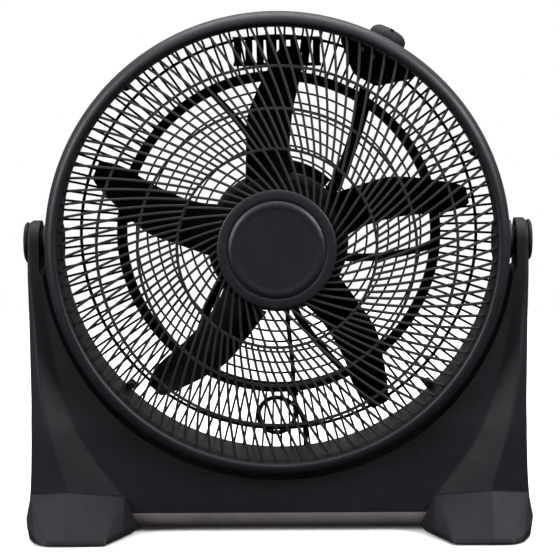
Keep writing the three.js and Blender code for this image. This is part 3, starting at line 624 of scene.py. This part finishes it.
def rear_grille():
    shape = ring(10, REAR_HUB_R, 70.3, 74.3, 0.6, 96)
    shape.merge(ring(REAR_HUB_R - 1, 70, 70.3, 80, 0.8, 120))
    shape.merge(ring(THICK_R - 6, THICK_R + 6, 78.5, 86, 1.6, 200))
    thin_y = rear_y(THIN_R)
    shape.merge(ring(THIN_R - 1.7, THIN_R + 1.7, thin_y - 2, thin_y + 2, 0.8, 200))
    shape.merge(ring(REAR_RIM_R, 252.6, DRUM_REAR_Y + 0.3, 56, 0.9, 240))
    for node in RIM_SCREWS:
        middle = (low(node) + high(node)) / 2
        lug = ring(1.9, 5, DRUM_REAR_Y + 0.3, 56, 0.8, 32)
        shape.merge(lug.moved(Matrix.Translation((middle.x, 0, middle.z - PIVOT_Z))))
    for n in range(1, 9):
        r = REAR_HUB_R + 12.6 * n
        y = rear_y(r)
        shape.merge(ring(r - 1.1, r + 1.1, y - 1.8, y + 1.8, 0.6, 160))
    for k in range(ARMS):
        turn = TAU * k / ARMS
        shape.merge(spoke(REAR_HUB_R + 1, THICK_R - 4, 12, lambda t: 10 - 2.5 * t, 6,
                          lambda r: turn + arm_angle(r), rear_y, 1.2))
    for k in range(REAR_BARS):
        angle = math.radians(-0.4) + TAU * k / REAR_BARS
        shape.merge(spoke(THICK_R + 3, REAR_RIM_R + 1, 5, 2.4, 5, lambda r: angle,
                          lambda r: max(rear_y(r), 53.4)))
    for k in range(8):
        x = -45.5 + 13 * k
        shape.merge(bar([(x, rear_y(197), 196), (x, rear_y(212), 212), (x, rear_y(227), 228)],
                        [8.4] * 3, 6, 1.2))
    for z in (197, 227):
        shape.merge(bar([(-51, rear_y(z), z), (0, rear_y(z), z), (51, rear_y(z), z)], [4] * 3, 5, 1))
    piece("rear_grille_bars", shape, "head", BLACK, ("rear_grille",), PIVOT_Z)


# ------------------------------------------------------------------------- motor

def motor():
    def part(name, outline, node, material, sides=96, ease=0.8):
        shape = lathe(eased(outline, ease), sides)
        return piece(name, shape, "head", material, (node,), PIVOT_Z)

    part("stator_stack", [(24.6, 24), (47, 24), (47, 54), (24.6, 54)], "stator_core",
         CORE)
    part("front_coil", [(27, 16), (40.5, 16), (40.5, 23.7), (27, 23.7)], "front_winding",
         COPPER, 64, 3)
    part("rear_coil", [(27, 54.3), (40.5, 54.3), (40.5, 62), (27, 62)], "rear_winding",
         COPPER, 64, 3)
    part("front_end_bracket", [(8.3, 8), (13, 8), (13, 11), (44, 11), (49.5, 15), (49.5, 23.7),
                               (45.4, 23.7), (45.4, 16), (43.5, 14.5), (13, 14.5), (12, 18), (8.3, 18)],
         "motor_front_bracket", CAST)
    part("rear_end_bracket", [(8.3, 60), (12, 60), (13, 63.5), (43.5, 63.5), (45.4, 62), (45.4, 54.3),
                              (49.5, 54.3), (49.5, 63), (44, 67), (13, 67), (13, 70), (8.3, 70)],
         "motor_rear_bracket", CAST)
    for node in ("front_bush", "rear_bush"):
        keep(node, BRONZE)
    for node in ("motor_bolt_1", "motor_bolt_2", "rotor_shaft", "drive_pin"):
        keep(node, STEEL)
    keep("rotor_core", CORE)


def motor_cover():
    outline = [(0, 102.2), (39, 102.2), (56, 99), (61.5, 91), (61.5, 74.6), (64, 74.6), (64, 91),
               (62.4, 95.4), (58, 100), (50, 103.4), (41, 104.4), (40, 103.2), (20, 103.2), (19, 104.6),
               (0, 105)]
    shape = lathe(eased(outline, 1.4, 3, False), 144, closed=False)
    for k in range(36):
        angle = TAU * k / 36
        places = [about_y(r, 103.6, angle) for r in (19, 30, 41)]
        shape.merge(bar(places, [1.6, 2.2, 2.8], 1.8, 0.4))
    for k in range(48):
        angle = TAU * (k + 0.5) / 48
        places = [about_y(63.6, y, angle) for y in (78, 84, 90)]
        shape.merge(upright_rib(places, 1.6, 1.6))
    piece("motor_cover", shape, "head", BLACK, ("motor_rear_cover",), PIVOT_Z)


def upright_rib(places, width, depth):
    """A small rib along Y on a turned surface."""
    rows = []
    for x, y, z in places:
        out = Vector((x, 0, z)).normalized()
        side = Vector((out.z, 0, -out.x))
        here = Vector((x, y, z))
        section = eased([(-width / 2, -depth / 2), (width / 2, -depth / 2),
                         (width / 2, depth / 2), (-width / 2, depth / 2)], 0.4, 1)
        rows.append([tuple(here + side * u + out * v) for u, v in section])
    return Shape().rows(rows, around=True, caps=True)


# --------------------------------------------------------------------- fan wheel

BLADE_TIP_R = 219
BLADE_ROOT_R = 76
# Radius, then back edge and front edge in degrees from the line of the tip.
BLADE_EDGES = [
    (BLADE_ROOT_R, -33, 9), (92, -28, 4), (113, -23.5, 1.4), (144, -19, 1),
    (165, -14.5, 1.6), (190, -9.5, 2.4), (205, -7, 2), (214, -5.4, 1.4),
    (BLADE_TIP_R, -4.2, 0.6),
]
BLADE_Y = -18
BLADE_PHASE = 6
BLADE_HALF_THICKNESS = 1.3
ROOT_PITCH = 36
PITCH_LOSS = 16


def blade_rows():
    """Closed sections of one blade from root to tip, each out over its front and home
    over its back."""
    across_steps = 16
    made = []
    for r, back, ahead in curve_through(BLADE_EDGES, 5):
        row = []
        for side in (1, -1):
            order = range(across_steps + 1) if side == 1 else range(across_steps - 1, 0, -1)
            for k in order:
                across = k / across_steps
                outward = (r - BLADE_ROOT_R) / (BLADE_TIP_R - BLADE_ROOT_R)
                pitch = math.radians(ROOT_PITCH - PITCH_LOSS * outward)
                angle = math.radians(BLADE_PHASE + back + (ahead - back) * across)
                chord = math.radians(ahead - back) * r
                camber = 3 * math.sin(math.pi * across)
                thick = BLADE_HALF_THICKNESS * min(1, 4.2 * min(across, 1 - across)) ** 0.5
                y = BLADE_Y + (across - 0.5) * chord * math.tan(pitch) + camber + side * thick
                row.append((r * math.sin(angle), y, r * math.cos(angle)))
        made.append(row)
    return made


def blade_wheel():
    shape = Shape()
    rows = blade_rows()
    for k in range(BLADE_COUNT):
        turned = Shape().rows(rows, around=True, caps=True)
        shape.merge(turned.moved(Matrix.Rotation(TAU * k / BLADE_COUNT, 4, "Y")))
    hub = [(4.3, -44), (38, -44), (52, -41.4), (62, -36), (74, -22), (79, -10), (80, -2), (80, 5),
           (77, 5), (77, -2), (71, -20.5), (58, -35.5), (39.5, -41), (13, -41), (12, 1.2), (4.3, 1.2)]
    shape.merge(lathe(eased(hub, 2.4), 120))
    for k in range(10):
        angle = TAU * k / 10
        shape.merge(spoke(11, 60, 4, 2, 6, lambda r: angle, lambda r: -40 + 7.5 * max(0, (r - 38) / 22)))
    piece("blade_wheel", shape, "fan_wheel", BLADE, ("fan_blade",), PIVOT_Z)
    nut = [(0, -64), (5, -63.4), (9.5, -60.6), (12.4, -56), (14, -50), (14, -44.3), (4.3, -44.3),
           (4.3, -58.3), (0, -58.3)]
    shape = lathe(eased(nut, 1.2, 3, False), 64, closed=False)
    for k in range(12):
        angle = TAU * k / 12
        shape.merge(upright_rib([about_y(13.6, y, angle) for y in (-51, -48, -45)], 1.6, 1.4))
    piece("spinner", shape, "fan_wheel", BLACK, ("spinner_nut",), PIVOT_Z)


# ------------------------------------------------------------------ speed switch

def switch_frame(u, v, h):
    """Along the drum, outwards and back, turned to the knob's place."""
    x = u * math.cos(KNOB_ANGLE) + v * math.sin(KNOB_ANGLE)
    z = -u * math.sin(KNOB_ANGLE) + v * math.cos(KNOB_ANGLE)
    return (x, h, z)


KNOB_SEAT_R = 253.4
BOX_OUTLINE = [(-48, 244), (-46, 232), (-14, 205), (14, 205), (46, 232), (48, 244)]


def switch_box():
    outer = eased(BOX_OUTLINE, 4)
    inner = eased([(-45, 241.5), (-43.3, 233.4), (-13, 207.8), (13, 207.8), (43.3, 233.4), (45, 241.5)], 3)
    mouth, shoulder, top, ceiling = 16.5, 46.6, 48, 45.5
    shape = Shape()
    for levels in (((outer, mouth), (outer, shoulder), (inner, top)),
                   ((outer, mouth), (inner, mouth), (inner, ceiling))):
        shape.rows([[switch_frame(u, v, h) for u, v in outline] for outline, h in levels], around=True)
        end = range(len(shape.points) - len(inner), len(shape.points))
        shape.faces.append(tuple(end if levels[-1][1] == top else reversed(end)))
    piece("switch_housing", shape, "head", BLACK, ("switch_box",), PIVOT_Z)
    cover = prism(eased(BOX_OUTLINE, 4), 13.7, 16.2, switch_frame)
    for u in (-20, 8, 26):
        foot_v = 214 + abs(u) * 0.6
        rib = [(u - 1, foot_v), (u + 1, foot_v), (u + 1, 240), (u - 1, 240)]
        cover.merge(prism(rib, 12.9, 14, switch_frame))
    soften(piece("switch_housing_cover", cover, "head", BLACK,
                 ("switch_box_cover",), PIVOT_Z), 0.5, 2)
    for node in ("rotary_switch", "run_capacitor", "switch_spindle"):
        keep(node, PALE)


def knob():
    """A domed dial with a fluted skirt and a raised pointer."""
    radius = 22.0
    height = 16.6
    bore = 3.3
    bore_top = 9.0
    sides = 144
    rows = []
    outline = eased([(bore, 0), (radius, 0), (radius, 5.4), (20.6, 10.6), (15, height - 1.5),
                     (6, height - 0.2), (0, height)], 2.4, 4, False)
    for i in range(sides):
        angle = TAU * i / sides
        row = []
        for r, h in outline:
            skirt = max(0, min(1, (r - 17) / 3)) * max(0, min(1, (h - 0.6) / 1.5))
            flute = 0.45 * (0.5 + 0.5 * math.cos(24 * angle))
            row.append(about_z(r - skirt * flute, h, angle))
        rows.append(row)
    rows = [[*row, (0.0, 0.0, bore_top), about_z(bore, bore_top, TAU * i / sides)]
            for i, row in enumerate(rows)]
    shape = Shape().rows(rows, around=True, loop=True)
    pointer = eased([(-2.2, -17), (2.2, -17), (1.6, 15), (-1.6, 15)], 1)
    shape.merge(prism(pointer, height - 3.4, height - 0.05, lambda u, v, h: (u, v, h)))
    outward = -Vector(KNOB["axis"])
    turn = Matrix.Rotation(KNOB_ANGLE, 4, "Y")
    seat = Vector((0, KNOB["pos_m"][1] / MM, 0)) + outward * KNOB_SEAT_R
    shape.moved(Matrix.Translation(seat) @ turn)
    piece("speed_dial", shape, "knob", STAND, ("speed_knob",), PIVOT_Z)


def wire_channel():
    start, end = 72, 198

    def share(r):
        return (r - start) / (end - start)

    def y_at(r):
        return 64 + 3 * math.sin(math.pi * share(r)) - 10 * max(0, (r - 170) / 28) ** 1.5

    shape = spoke(start, end, 18, 14, 7,
                  lambda r: math.radians(31 + 21 * (1 - share(r)) ** 1.3), y_at, 2)
    plate = eased([(69, 66.6), (88, 66.6), (88, 73.4), (69, 73.4)], 1.2)
    angles = [math.radians(8 + 36 * k / 24) for k in range(25)]
    shape.rows([[about_y(r, y, angle) for r, y in plate] for angle in angles], around=True, caps=True)
    piece("wiring_channel", shape, "head", BLACK, ("wire_channel",), PIVOT_Z)


def cord_fittings():
    gland = [(0, -88), (4, -88), (4.6, -84), (4.0, -83.4), (4.9, -80), (4.3, -79.4), (5.2, -76),
             (4.6, -75.4), (5.6, -71), (8, -69.8), (8, -64.6), (0, -64.6)]
    shape = lathe(eased(gland, 0.5, 2, False), 40, about_z, closed=False)
    shape.moved(Matrix.Translation((10, 89, 0)))
    piece("cord_strain_relief", shape, "head", SHEATH, ("cord_gland",), PIVOT_Z)
    route = curve_through([(10, 89, -88.3), (10, 89, -104), (12.5, 91, -130), (15, 93, -155),
                           (16, 94, -170), (16, 94, -180)], 5)
    piece("fixed_lead", tube(route, CORD_R, 14), "head", SHEATH, ("supply_lead",), PIVOT_Z)
    side = [(86.3, -180.3), (99, -180.3), (101, -186), (101, -189), (94, -196), (86.3, -196)]
    clip = prism(eased(side, 1, 2), 10, 22, lambda u, v, h: (h, u, v))
    soften(piece("lead_clip", clip, "head", BLACK, ("cord_clip",), PIVOT_Z), 0.7, 2)


def screw_head(radius, height, slot=0.32):
    """A round head with a cross cut into it, standing on Z."""
    sides = 48

    def cross(angle):
        wide = 0.16 * radius
        reach = 0.6 * radius
        c, s = abs(math.cos(angle)), abs(math.sin(angle))
        big, small = max(c, s), min(c, s)
        along = reach / big
        if small * along <= wide:
            return along
        return wide / small

    rows = []
    for level, scale in ((0, 1), (height * 0.35, 1), (height * 0.8, 0.86), (height, 0.7)):
        rows.append([about_z(radius * scale, level, TAU * i / sides) for i in range(sides)])
    for level in (height, height * (1 - slot) - 0.4):
        rows.append([about_z(cross(TAU * i / sides), level, TAU * i / sides) for i in range(sides)])
    return Shape().rows(rows, around=True, caps=True)


def screws():
    for k, node in enumerate(RIM_SCREWS):
        middle = (low(node) + high(node)) / 2
        head = screw_head(3.5, 2.3).moved(Matrix.Rotation(-math.pi / 2, 4, "X"))
        head.merge(ring(0.2, 1.6, -16, 0, 0.3, 24))
        head.moved(Matrix.Translation((middle.x, 56.3, middle.z)))
        piece(f"rim_screw_{k + 1}", head, "head", STEEL, (node,))
    for k in range(2):
        node = f"switch_screw_{k + 1}"
        middle = (low(node) + high(node)) / 2
        head = screw_head(3.5, 2.4).moved(Matrix.Rotation(math.pi / 2, 4, "X"))
        head.merge(ring(0.2, 1.5, 0, 7.6, 0.3, 24))
        head.moved(Matrix.Translation((middle.x, 13.4, middle.z)))
        piece(f"housing_screw_{k + 1}", head, "head", STEEL, (node,))
    for side in ("left", "right"):
        for k in (1, 2):
            keep(f"{side}_foot_screw_{k}", STEEL)
        keep(f"{side}_pivot_bolt", STEEL)
        keep(f"{side}_friction_washer", RUBBER)


# ------------------------------------------------------------------------- stand

SPLIT_X = 176
WALL = 3.0
STRIP_TOP_Z = 23.5
FLUTE_DEPTH = 0.35
FLUTE_PITCH = 2.2
ARM_IN_X = 267
ARM_TOP_R = 25


def between(points, z):
    """The value at height z of a line through (height, value) pairs."""
    if z <= points[0][0]:
        return points[0][1]
    for (z0, v0), (z1, v1) in zip(points, points[1:]):
        if z <= z1:
            return v0 + (v1 - v0) * (z - z0) / (z1 - z0)
    return points[-1][1]


def smooth_line(points):
    """A finer line through (height, value) pairs, without corners."""
    return [(p.x, p.y) for p in curve_through([(z, v, 0) for z, v in points], 6)]


RIDGE_FOOT = smooth_line([(44, 176), (69, 197), (100, 217), (152, 239), (190, 250), (230, 258),
                          (262, 263), (300, 269)])
RIDGE_CREST = smooth_line([(44, 237), (100, 251), (152, 263.5), (190, 268.5), (230, 272), (262, 275.5),
                           (300, 280)])
RIDGE_HEIGHT = smooth_line([(44, 22), (100, 18), (152, 13.5), (190, 10), (230, 6), (262, 3), (300, 0.4)])


def panel_front(z):
    if z > PIVOT_Z:
        return -math.sqrt(max(0, ARM_TOP_R ** 2 - (z - PIVOT_Z) ** 2))
    return between([(121, -50), (240, -32), (PIVOT_Z, -ARM_TOP_R)], z)


def panel_rear(z):
    if z > PIVOT_Z:
        return math.sqrt(max(0, ARM_TOP_R ** 2 - (z - PIVOT_Z) ** 2))
    return between([(90, 58), (300, ARM_TOP_R)], z)


def cut_x(z):
    """Where the cut-out's edge is at height z."""
    if z > PIVOT_Z - ARM_TOP_R:
        return ARM_IN_X
    arc = math.sqrt(max(0, CUT_R ** 2 - (PIVOT_Z - z) ** 2))
    return min(ARM_IN_X, max(arc, between([(280, 0), (294, ARM_IN_X)], z)))


def outer_x(z):
    corner = 7
    x = between([(FOOT_TOP_Z, 281.3), (70, 279.6), (110, 278.3), (150, 278), (290, ARM_OUT_X)], z)
    over = z - (ARM_TOP_Z - corner)
    return x - (corner - math.sqrt(max(0, corner ** 2 - over ** 2)) if over > 0 else 0)


SPLIT_Z = PIVOT_Z - math.sqrt(CUT_R ** 2 - SPLIT_X ** 2)


def side_section(z, walled):
    """From the rear of the inner wall, where there is one, round the front with its
    ridge to the rear of the outer wall, at height z."""
    front, rear = panel_front(z), panel_rear(z)
    x_in = cut_x(z) if walled else SPLIT_X
    x_out = outer_x(z)
    foot_x = max(min(between(RIDGE_FOOT, z), x_out - 8), x_in + 0.8)
    crest_x = max(min(between(RIDGE_CREST, z), x_out - 2.4), foot_x + 1.5)
    proud = between(RIDGE_HEIGHT, z) if z < PIVOT_Z - ARM_TOP_R else 0
    corners = [(x_in, front), (foot_x, front), (crest_x, front - proud), (x_out, front + 2),
               (x_out, rear)]
    radii = [0, 3, 2.5, 3.5, 0]
    if walled:
        corners.insert(0, (x_in, rear))
        radii = [0, 1.6, 3, 2.5, 3.5, 0]
    made = []
    for i in range(1, len(corners) - 1):
        made.extend(rounded(corners[i - 1], corners[i], corners[i + 1], radii[i], 4))
    return [corners[0], *made, corners[-1]]


def seam_z(x, y):
    """The height of the line where a foot meets its side panel, highest at the ridge."""
    if y < -46:
        return between([(SPLIT_X, 44), (237, 54), (281, 46.4)], x)
    return between([(-46, 46.4), (58, 44)], y)


def low_heights():
    """Heights from the seam up to where the cut-out starts at the side panel's edge."""
    return [FOOT_TOP_Z + 0.3 + (SPLIT_Z - FOOT_TOP_Z - 0.3) * k / 10 for k in range(11)]


def high_heights():
    arm = PIVOT_Z - ARM_TOP_R
    sides = [SPLIT_Z + (arm - SPLIT_Z) * k / 40 for k in range(41)]
    sides += [arm + ARM_TOP_R * k / 4 for k in range(1, 5)]
    return sides + [PIVOT_Z + ARM_TOP_R * math.sin(math.pi / 2 * k / 14) for k in range(1, 15)]


def lifted(x, y, z):
    """A panel point with its lower end raised to the seam."""
    fade = max(0, 1 - (z - FOOT_TOP_Z) / 70)
    return z + fade * (seam_z(x, y) - FOOT_TOP_Z + 0.2)


def band_section(x, flute):
    """The bottom band at x, from the rear of its top wall, down its front and round
    the rolled underside, as (y, z)."""
    top = PIVOT_Z - math.sqrt(CUT_R ** 2 - x * x)
    front = panel_front(0)
    level_x = 70
    out = max(0, (abs(x) - level_x) / (SPLIT_X - level_x))
    made = [(panel_rear(SPLIT_Z) * out * out * (3 - 2 * out), top)]
    here = Vector((front, top))
    made.extend(tuple(here + Vector((1.6, 0)) * (1 - t) ** 2 + Vector((0, -1.6)) * t * t)
                for t in (0, 0.25, 0.5, 0.75, 1))
    wide = [lifted(SPLIT_X, front, z) for z in low_heights()]
    made.extend((front, z) for z in reversed(wide) if z < min(top, SPLIT_Z) - 2)
    made = made + [(front, wide[0])] * (6 + len(wide) - len(made))
    roll = curve_through([(front, STRIP_TOP_Z, 0), (-49.2, 18.4, 0), (-46.4, 12, 0), (-41.5, 7.2, 0),
                          (-34, 4.2, 0), (-22, 2.8, 0), (-8, 2.3, 0)], 3)
    for k, p in enumerate(roll):
        depth = flute * min(1, k / 2) * min(1, (len(roll) - 1 - k) / 3)
        made.append((p.x + depth * 0.7, p.y + depth * 0.7))
    return [*made, (0, 2.3)]


def thickened(shape, name, material, sharp=24):
    """The skin given its wall, as a shell with clean rims."""
    obj = piece(name, shape, "stand", material, (), 0, 180, False)
    shell = obj.modifiers.new("wall", "SOLIDIFY")
    shell.thickness = WALL * MM
    shell.offset = -1
    shell.use_even_offset = True
    made = bpy.data.meshes.new_from_object(obj.evaluated_get(bpy.context.evaluated_depsgraph_get()))
    obj.modifiers.clear()
    obj.data = made
    smooth(made, sharp)
    return obj


def stand_panel():
    shape = Shape()
    for side in (-1, 1):
        for heights, walled in ((low_heights(), False), (high_heights(), True)):
            rows = [[(side * x, y, lifted(x, y, z)) for x, y in side_section(z, walled)] for z in heights]
            shape.rows(rows if side > 0 else rows[::-1])
    columns = 640
    rows = []
    for i in range(columns + 1):
        x = -SPLIT_X + 2 * SPLIT_X * i / columns
        flute = FLUTE_DEPTH * (0.5 + 0.5 * math.cos(TAU * x / FLUTE_PITCH))
        rows.append([(x, y, z) for y, z in band_section(x, flute)])
    shape.rows(rows)
    shell = thickened(shape, "stand_shell", STAND)
    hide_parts("stand_panel")
    # The faces of the rolled underside below the strip's top get the lighter material, a painted
    # reflection of the floor, since the floor is hidden from diffuse and glossy rays.
    shell.data.materials.append(STRIP_PAINTED_REFLECTION)
    for face in shell.data.polygons:
        painted_reflection_face = face.center.z < STRIP_TOP_Z * MM and face.center.y > -51 * MM
        if painted_reflection_face and abs(face.center.x) < SPLIT_X * MM:
            face.material_index = 1


# Columns round a foot, as the points at its base, at its belt and at its seam.
FOOT_COLUMNS = [
    ((160, -30, 2.3), (157.5, -30, 15), (173, -42, 43.5)),
    ((163.5, -52, 2.3), (161.5, -52, 12), (173.3, -47.5, 43.5)),
    ((175, -76, 2.3), (173, -76, 9.5), (174.2, -50.5, 43.5)),
    ((191.5, -107, 2.3), (191, -103.5, 7.3), (176.5, -51.5, 43.7)),
    ((235, -107.8, 2.3), (235, -105.8, 7.3), (237.3, -72.6, 53.4)),
    ((258, -107.4, 2.3), (256.5, -105.2, 7.5), (279.5, -50, 46.2)),
    ((270, -98.5, 2.3), (270.5, -96, 10), (281.5, -46.5, 46)),
    ((277.5, -82, 2.3), (281, -78, 16), (281.9, -40, 45.8)),
    ((281.5, -64, 2.3), (284.6, -58, 21), (281.9, -30, 45.4)),
    ((282, 94, 2.3), (284.6, 88, 20), (281.9, 50, 43.8)),
    ((277, 104, 2.3), (279, 102, 16), (278, 58, 43.7)),
    ((268, 107.8, 2.3), (268, 107.8, 12), (268, 66, 43.6)),
    ((212, 107.8, 2.3), (212, 107.8, 12), (214, 66, 43.6)),
    ((200, 100, 2.3), (200, 100, 12), (205, 61, 43.6)),
    ((165, 25, 2.3), (164, 25, 14), (173, 20, 43.5)),
    ((160, -10, 2.3), (158, -10, 15), (173, -10, 43.5)),
]


def foot(name, side):
    """A loft from the base over the belt to the seam, ruled between its columns."""
    columns = eased([Vector((*base, *belt, *seam)) for base, belt, seam in FOOT_COLUMNS], 5, 4)
    rows = []
    for column in columns:
        base, belt, seam = Vector(column[0:3]), Vector(column[3:6]), Vector(column[6:9])
        low_lip = base + (Vector((222, 0, 2.3)) - base).normalized() * 2.4
        inside = seam + (Vector((228, 0, seam.z)) - seam).normalized() * 3.2
        bend = eased([low_lip, base, belt, seam, inside], 1.8, 3, False)
        rows.append([(side * x, y, max(FOOT_BASE_Z, z)) for x, y, z in bend])
    shape = Shape().rows(rows, loop=True)
    count = len(rows[0])
    shape.faces.append(tuple(i * count for i in range(len(rows))))
    shape.faces.append(tuple(i * count + count - 1 for i in reversed(range(len(rows)))))
    piece(f"{name}_shell", shape, "stand", STAND, (name,), 0, 40)


def pivot_cap(name, side):
    seat = ARM_OUT_X + 0.3
    outline = [(0, seat), (23, seat), (23, seat + 2.6), (20.4, seat + 4.3), (12, PIVOT_CAP_X - 0.3),
               (0, PIVOT_CAP_X)]
    outline = [(r, side * h) for r, h in outline]
    shape = lathe(eased(outline, 2, 4, False), 96, about_x, closed=False)
    piece(f"{name}_dome", shape, "stand", STAND, (name,), PIVOT_Z)


def stand():
    stand_panel()
    for word, side in (("left", -1), ("right", 1)):
        foot(f"{word}_foot", side)
        pivot_cap(f"{word}_pivot_cap", side)
        for place in ("front", "rear"):
            keep(f"{word}_{place}_pad", RUBBER)


drum()
front_grille()
grille_cap()
rear_grille()
motor()
motor_cover()
blade_wheel()
switch_box()
knob()
wire_channel()
cord_fittings()
screws()
stand()


# ------------------------------------------------------------------------- studio

def studio():
    floor = bpy.data.meshes.new("floor")
    radius = 1.7
    sides = 96
    edge = [(radius * math.sin(TAU * k / sides), radius * math.cos(TAU * k / sides), 0)
            for k in range(sides)]
    floor.from_pydata(edge, [], [tuple(reversed(range(sides)))])
    ground = bpy.data.objects.new("floor", floor)
    bpy.context.scene.collection.objects.link(ground)
    ground.visible_glossy = False
    ground.visible_diffuse = False
    made = Finish("studio_floor")
    made.colour(made.noise(400, 2), (0.9, 0.9, 0.9, 1), (0.94, 0.94, 0.94, 1))
    made.shader.inputs["Roughness"].default_value = 0.9
    made.shader.inputs["Specular IOR Level"].default_value = 0.1
    floor.materials.append(made.material)

    world = bpy.data.worlds.new("studio")
    world.use_nodes = True
    nodes = world.node_tree.nodes
    links = world.node_tree.links
    fill = nodes["Background"]
    fill.inputs["Color"].default_value = (1, 1, 1, 1)
    direction = nodes.new("ShaderNodeTexCoord").outputs["Generated"]
    parts = nodes.new("ShaderNodeSeparateXYZ")
    rise = nodes.new("ShaderNodeMapRange")
    for name, value in (("From Min", -0.15), ("From Max", 0.6), ("To Min", 0.06), ("To Max", 0.68)):
        rise.inputs[name].default_value = value
    links.new(direction, parts.inputs["Vector"])
    links.new(parts.outputs["Z"], rise.inputs["Value"])
    links.new(rise.outputs["Result"], fill.inputs["Strength"])
    wall = nodes.new("ShaderNodeBackground")
    wall.inputs["Strength"].default_value = 1.0
    wall.inputs["Color"].default_value = (1, 1, 1, 1)
    rays = nodes.new("ShaderNodeLightPath")
    mix = nodes.new("ShaderNodeMixShader")
    links.new(rays.outputs["Is Camera Ray"], mix.inputs["Fac"])
    links.new(fill.outputs["Background"], mix.inputs[1])
    links.new(wall.outputs["Background"], mix.inputs[2])
    links.new(mix.outputs["Shader"], nodes["World Output"].inputs["Surface"])
    bpy.context.scene.world = world

    # name, place, target, width and height in metres, power in watts
    for name, place, target, size, power in (
            ("overhead", (0, 0.2, 2.8), (0, 0, 0.3), (3.0, 2.4), 130),
            ("left", (-2.3, -1.4, 1.3), (0, 0, 0.25), (1.0, 1.8), 75),
            ("right", (2.1, -1.2, 1.7), (0, 0, 0.3), (1.0, 1.2), 75)):
        data = bpy.data.lights.new(name, "AREA")
        data.shape = "RECTANGLE"
        data.size, data.size_y = size
        data.energy = power
        lamp = bpy.data.objects.new(name, data)
        bpy.context.scene.collection.objects.link(lamp)
        lamp.location = place
        lamp.rotation_mode = "QUATERNION"
        lamp.rotation_quaternion = (Vector(target) - Vector(place)).to_track_quat("-Z", "Y")
    bpy.context.scene.view_settings.view_transform = "Standard"


studio()
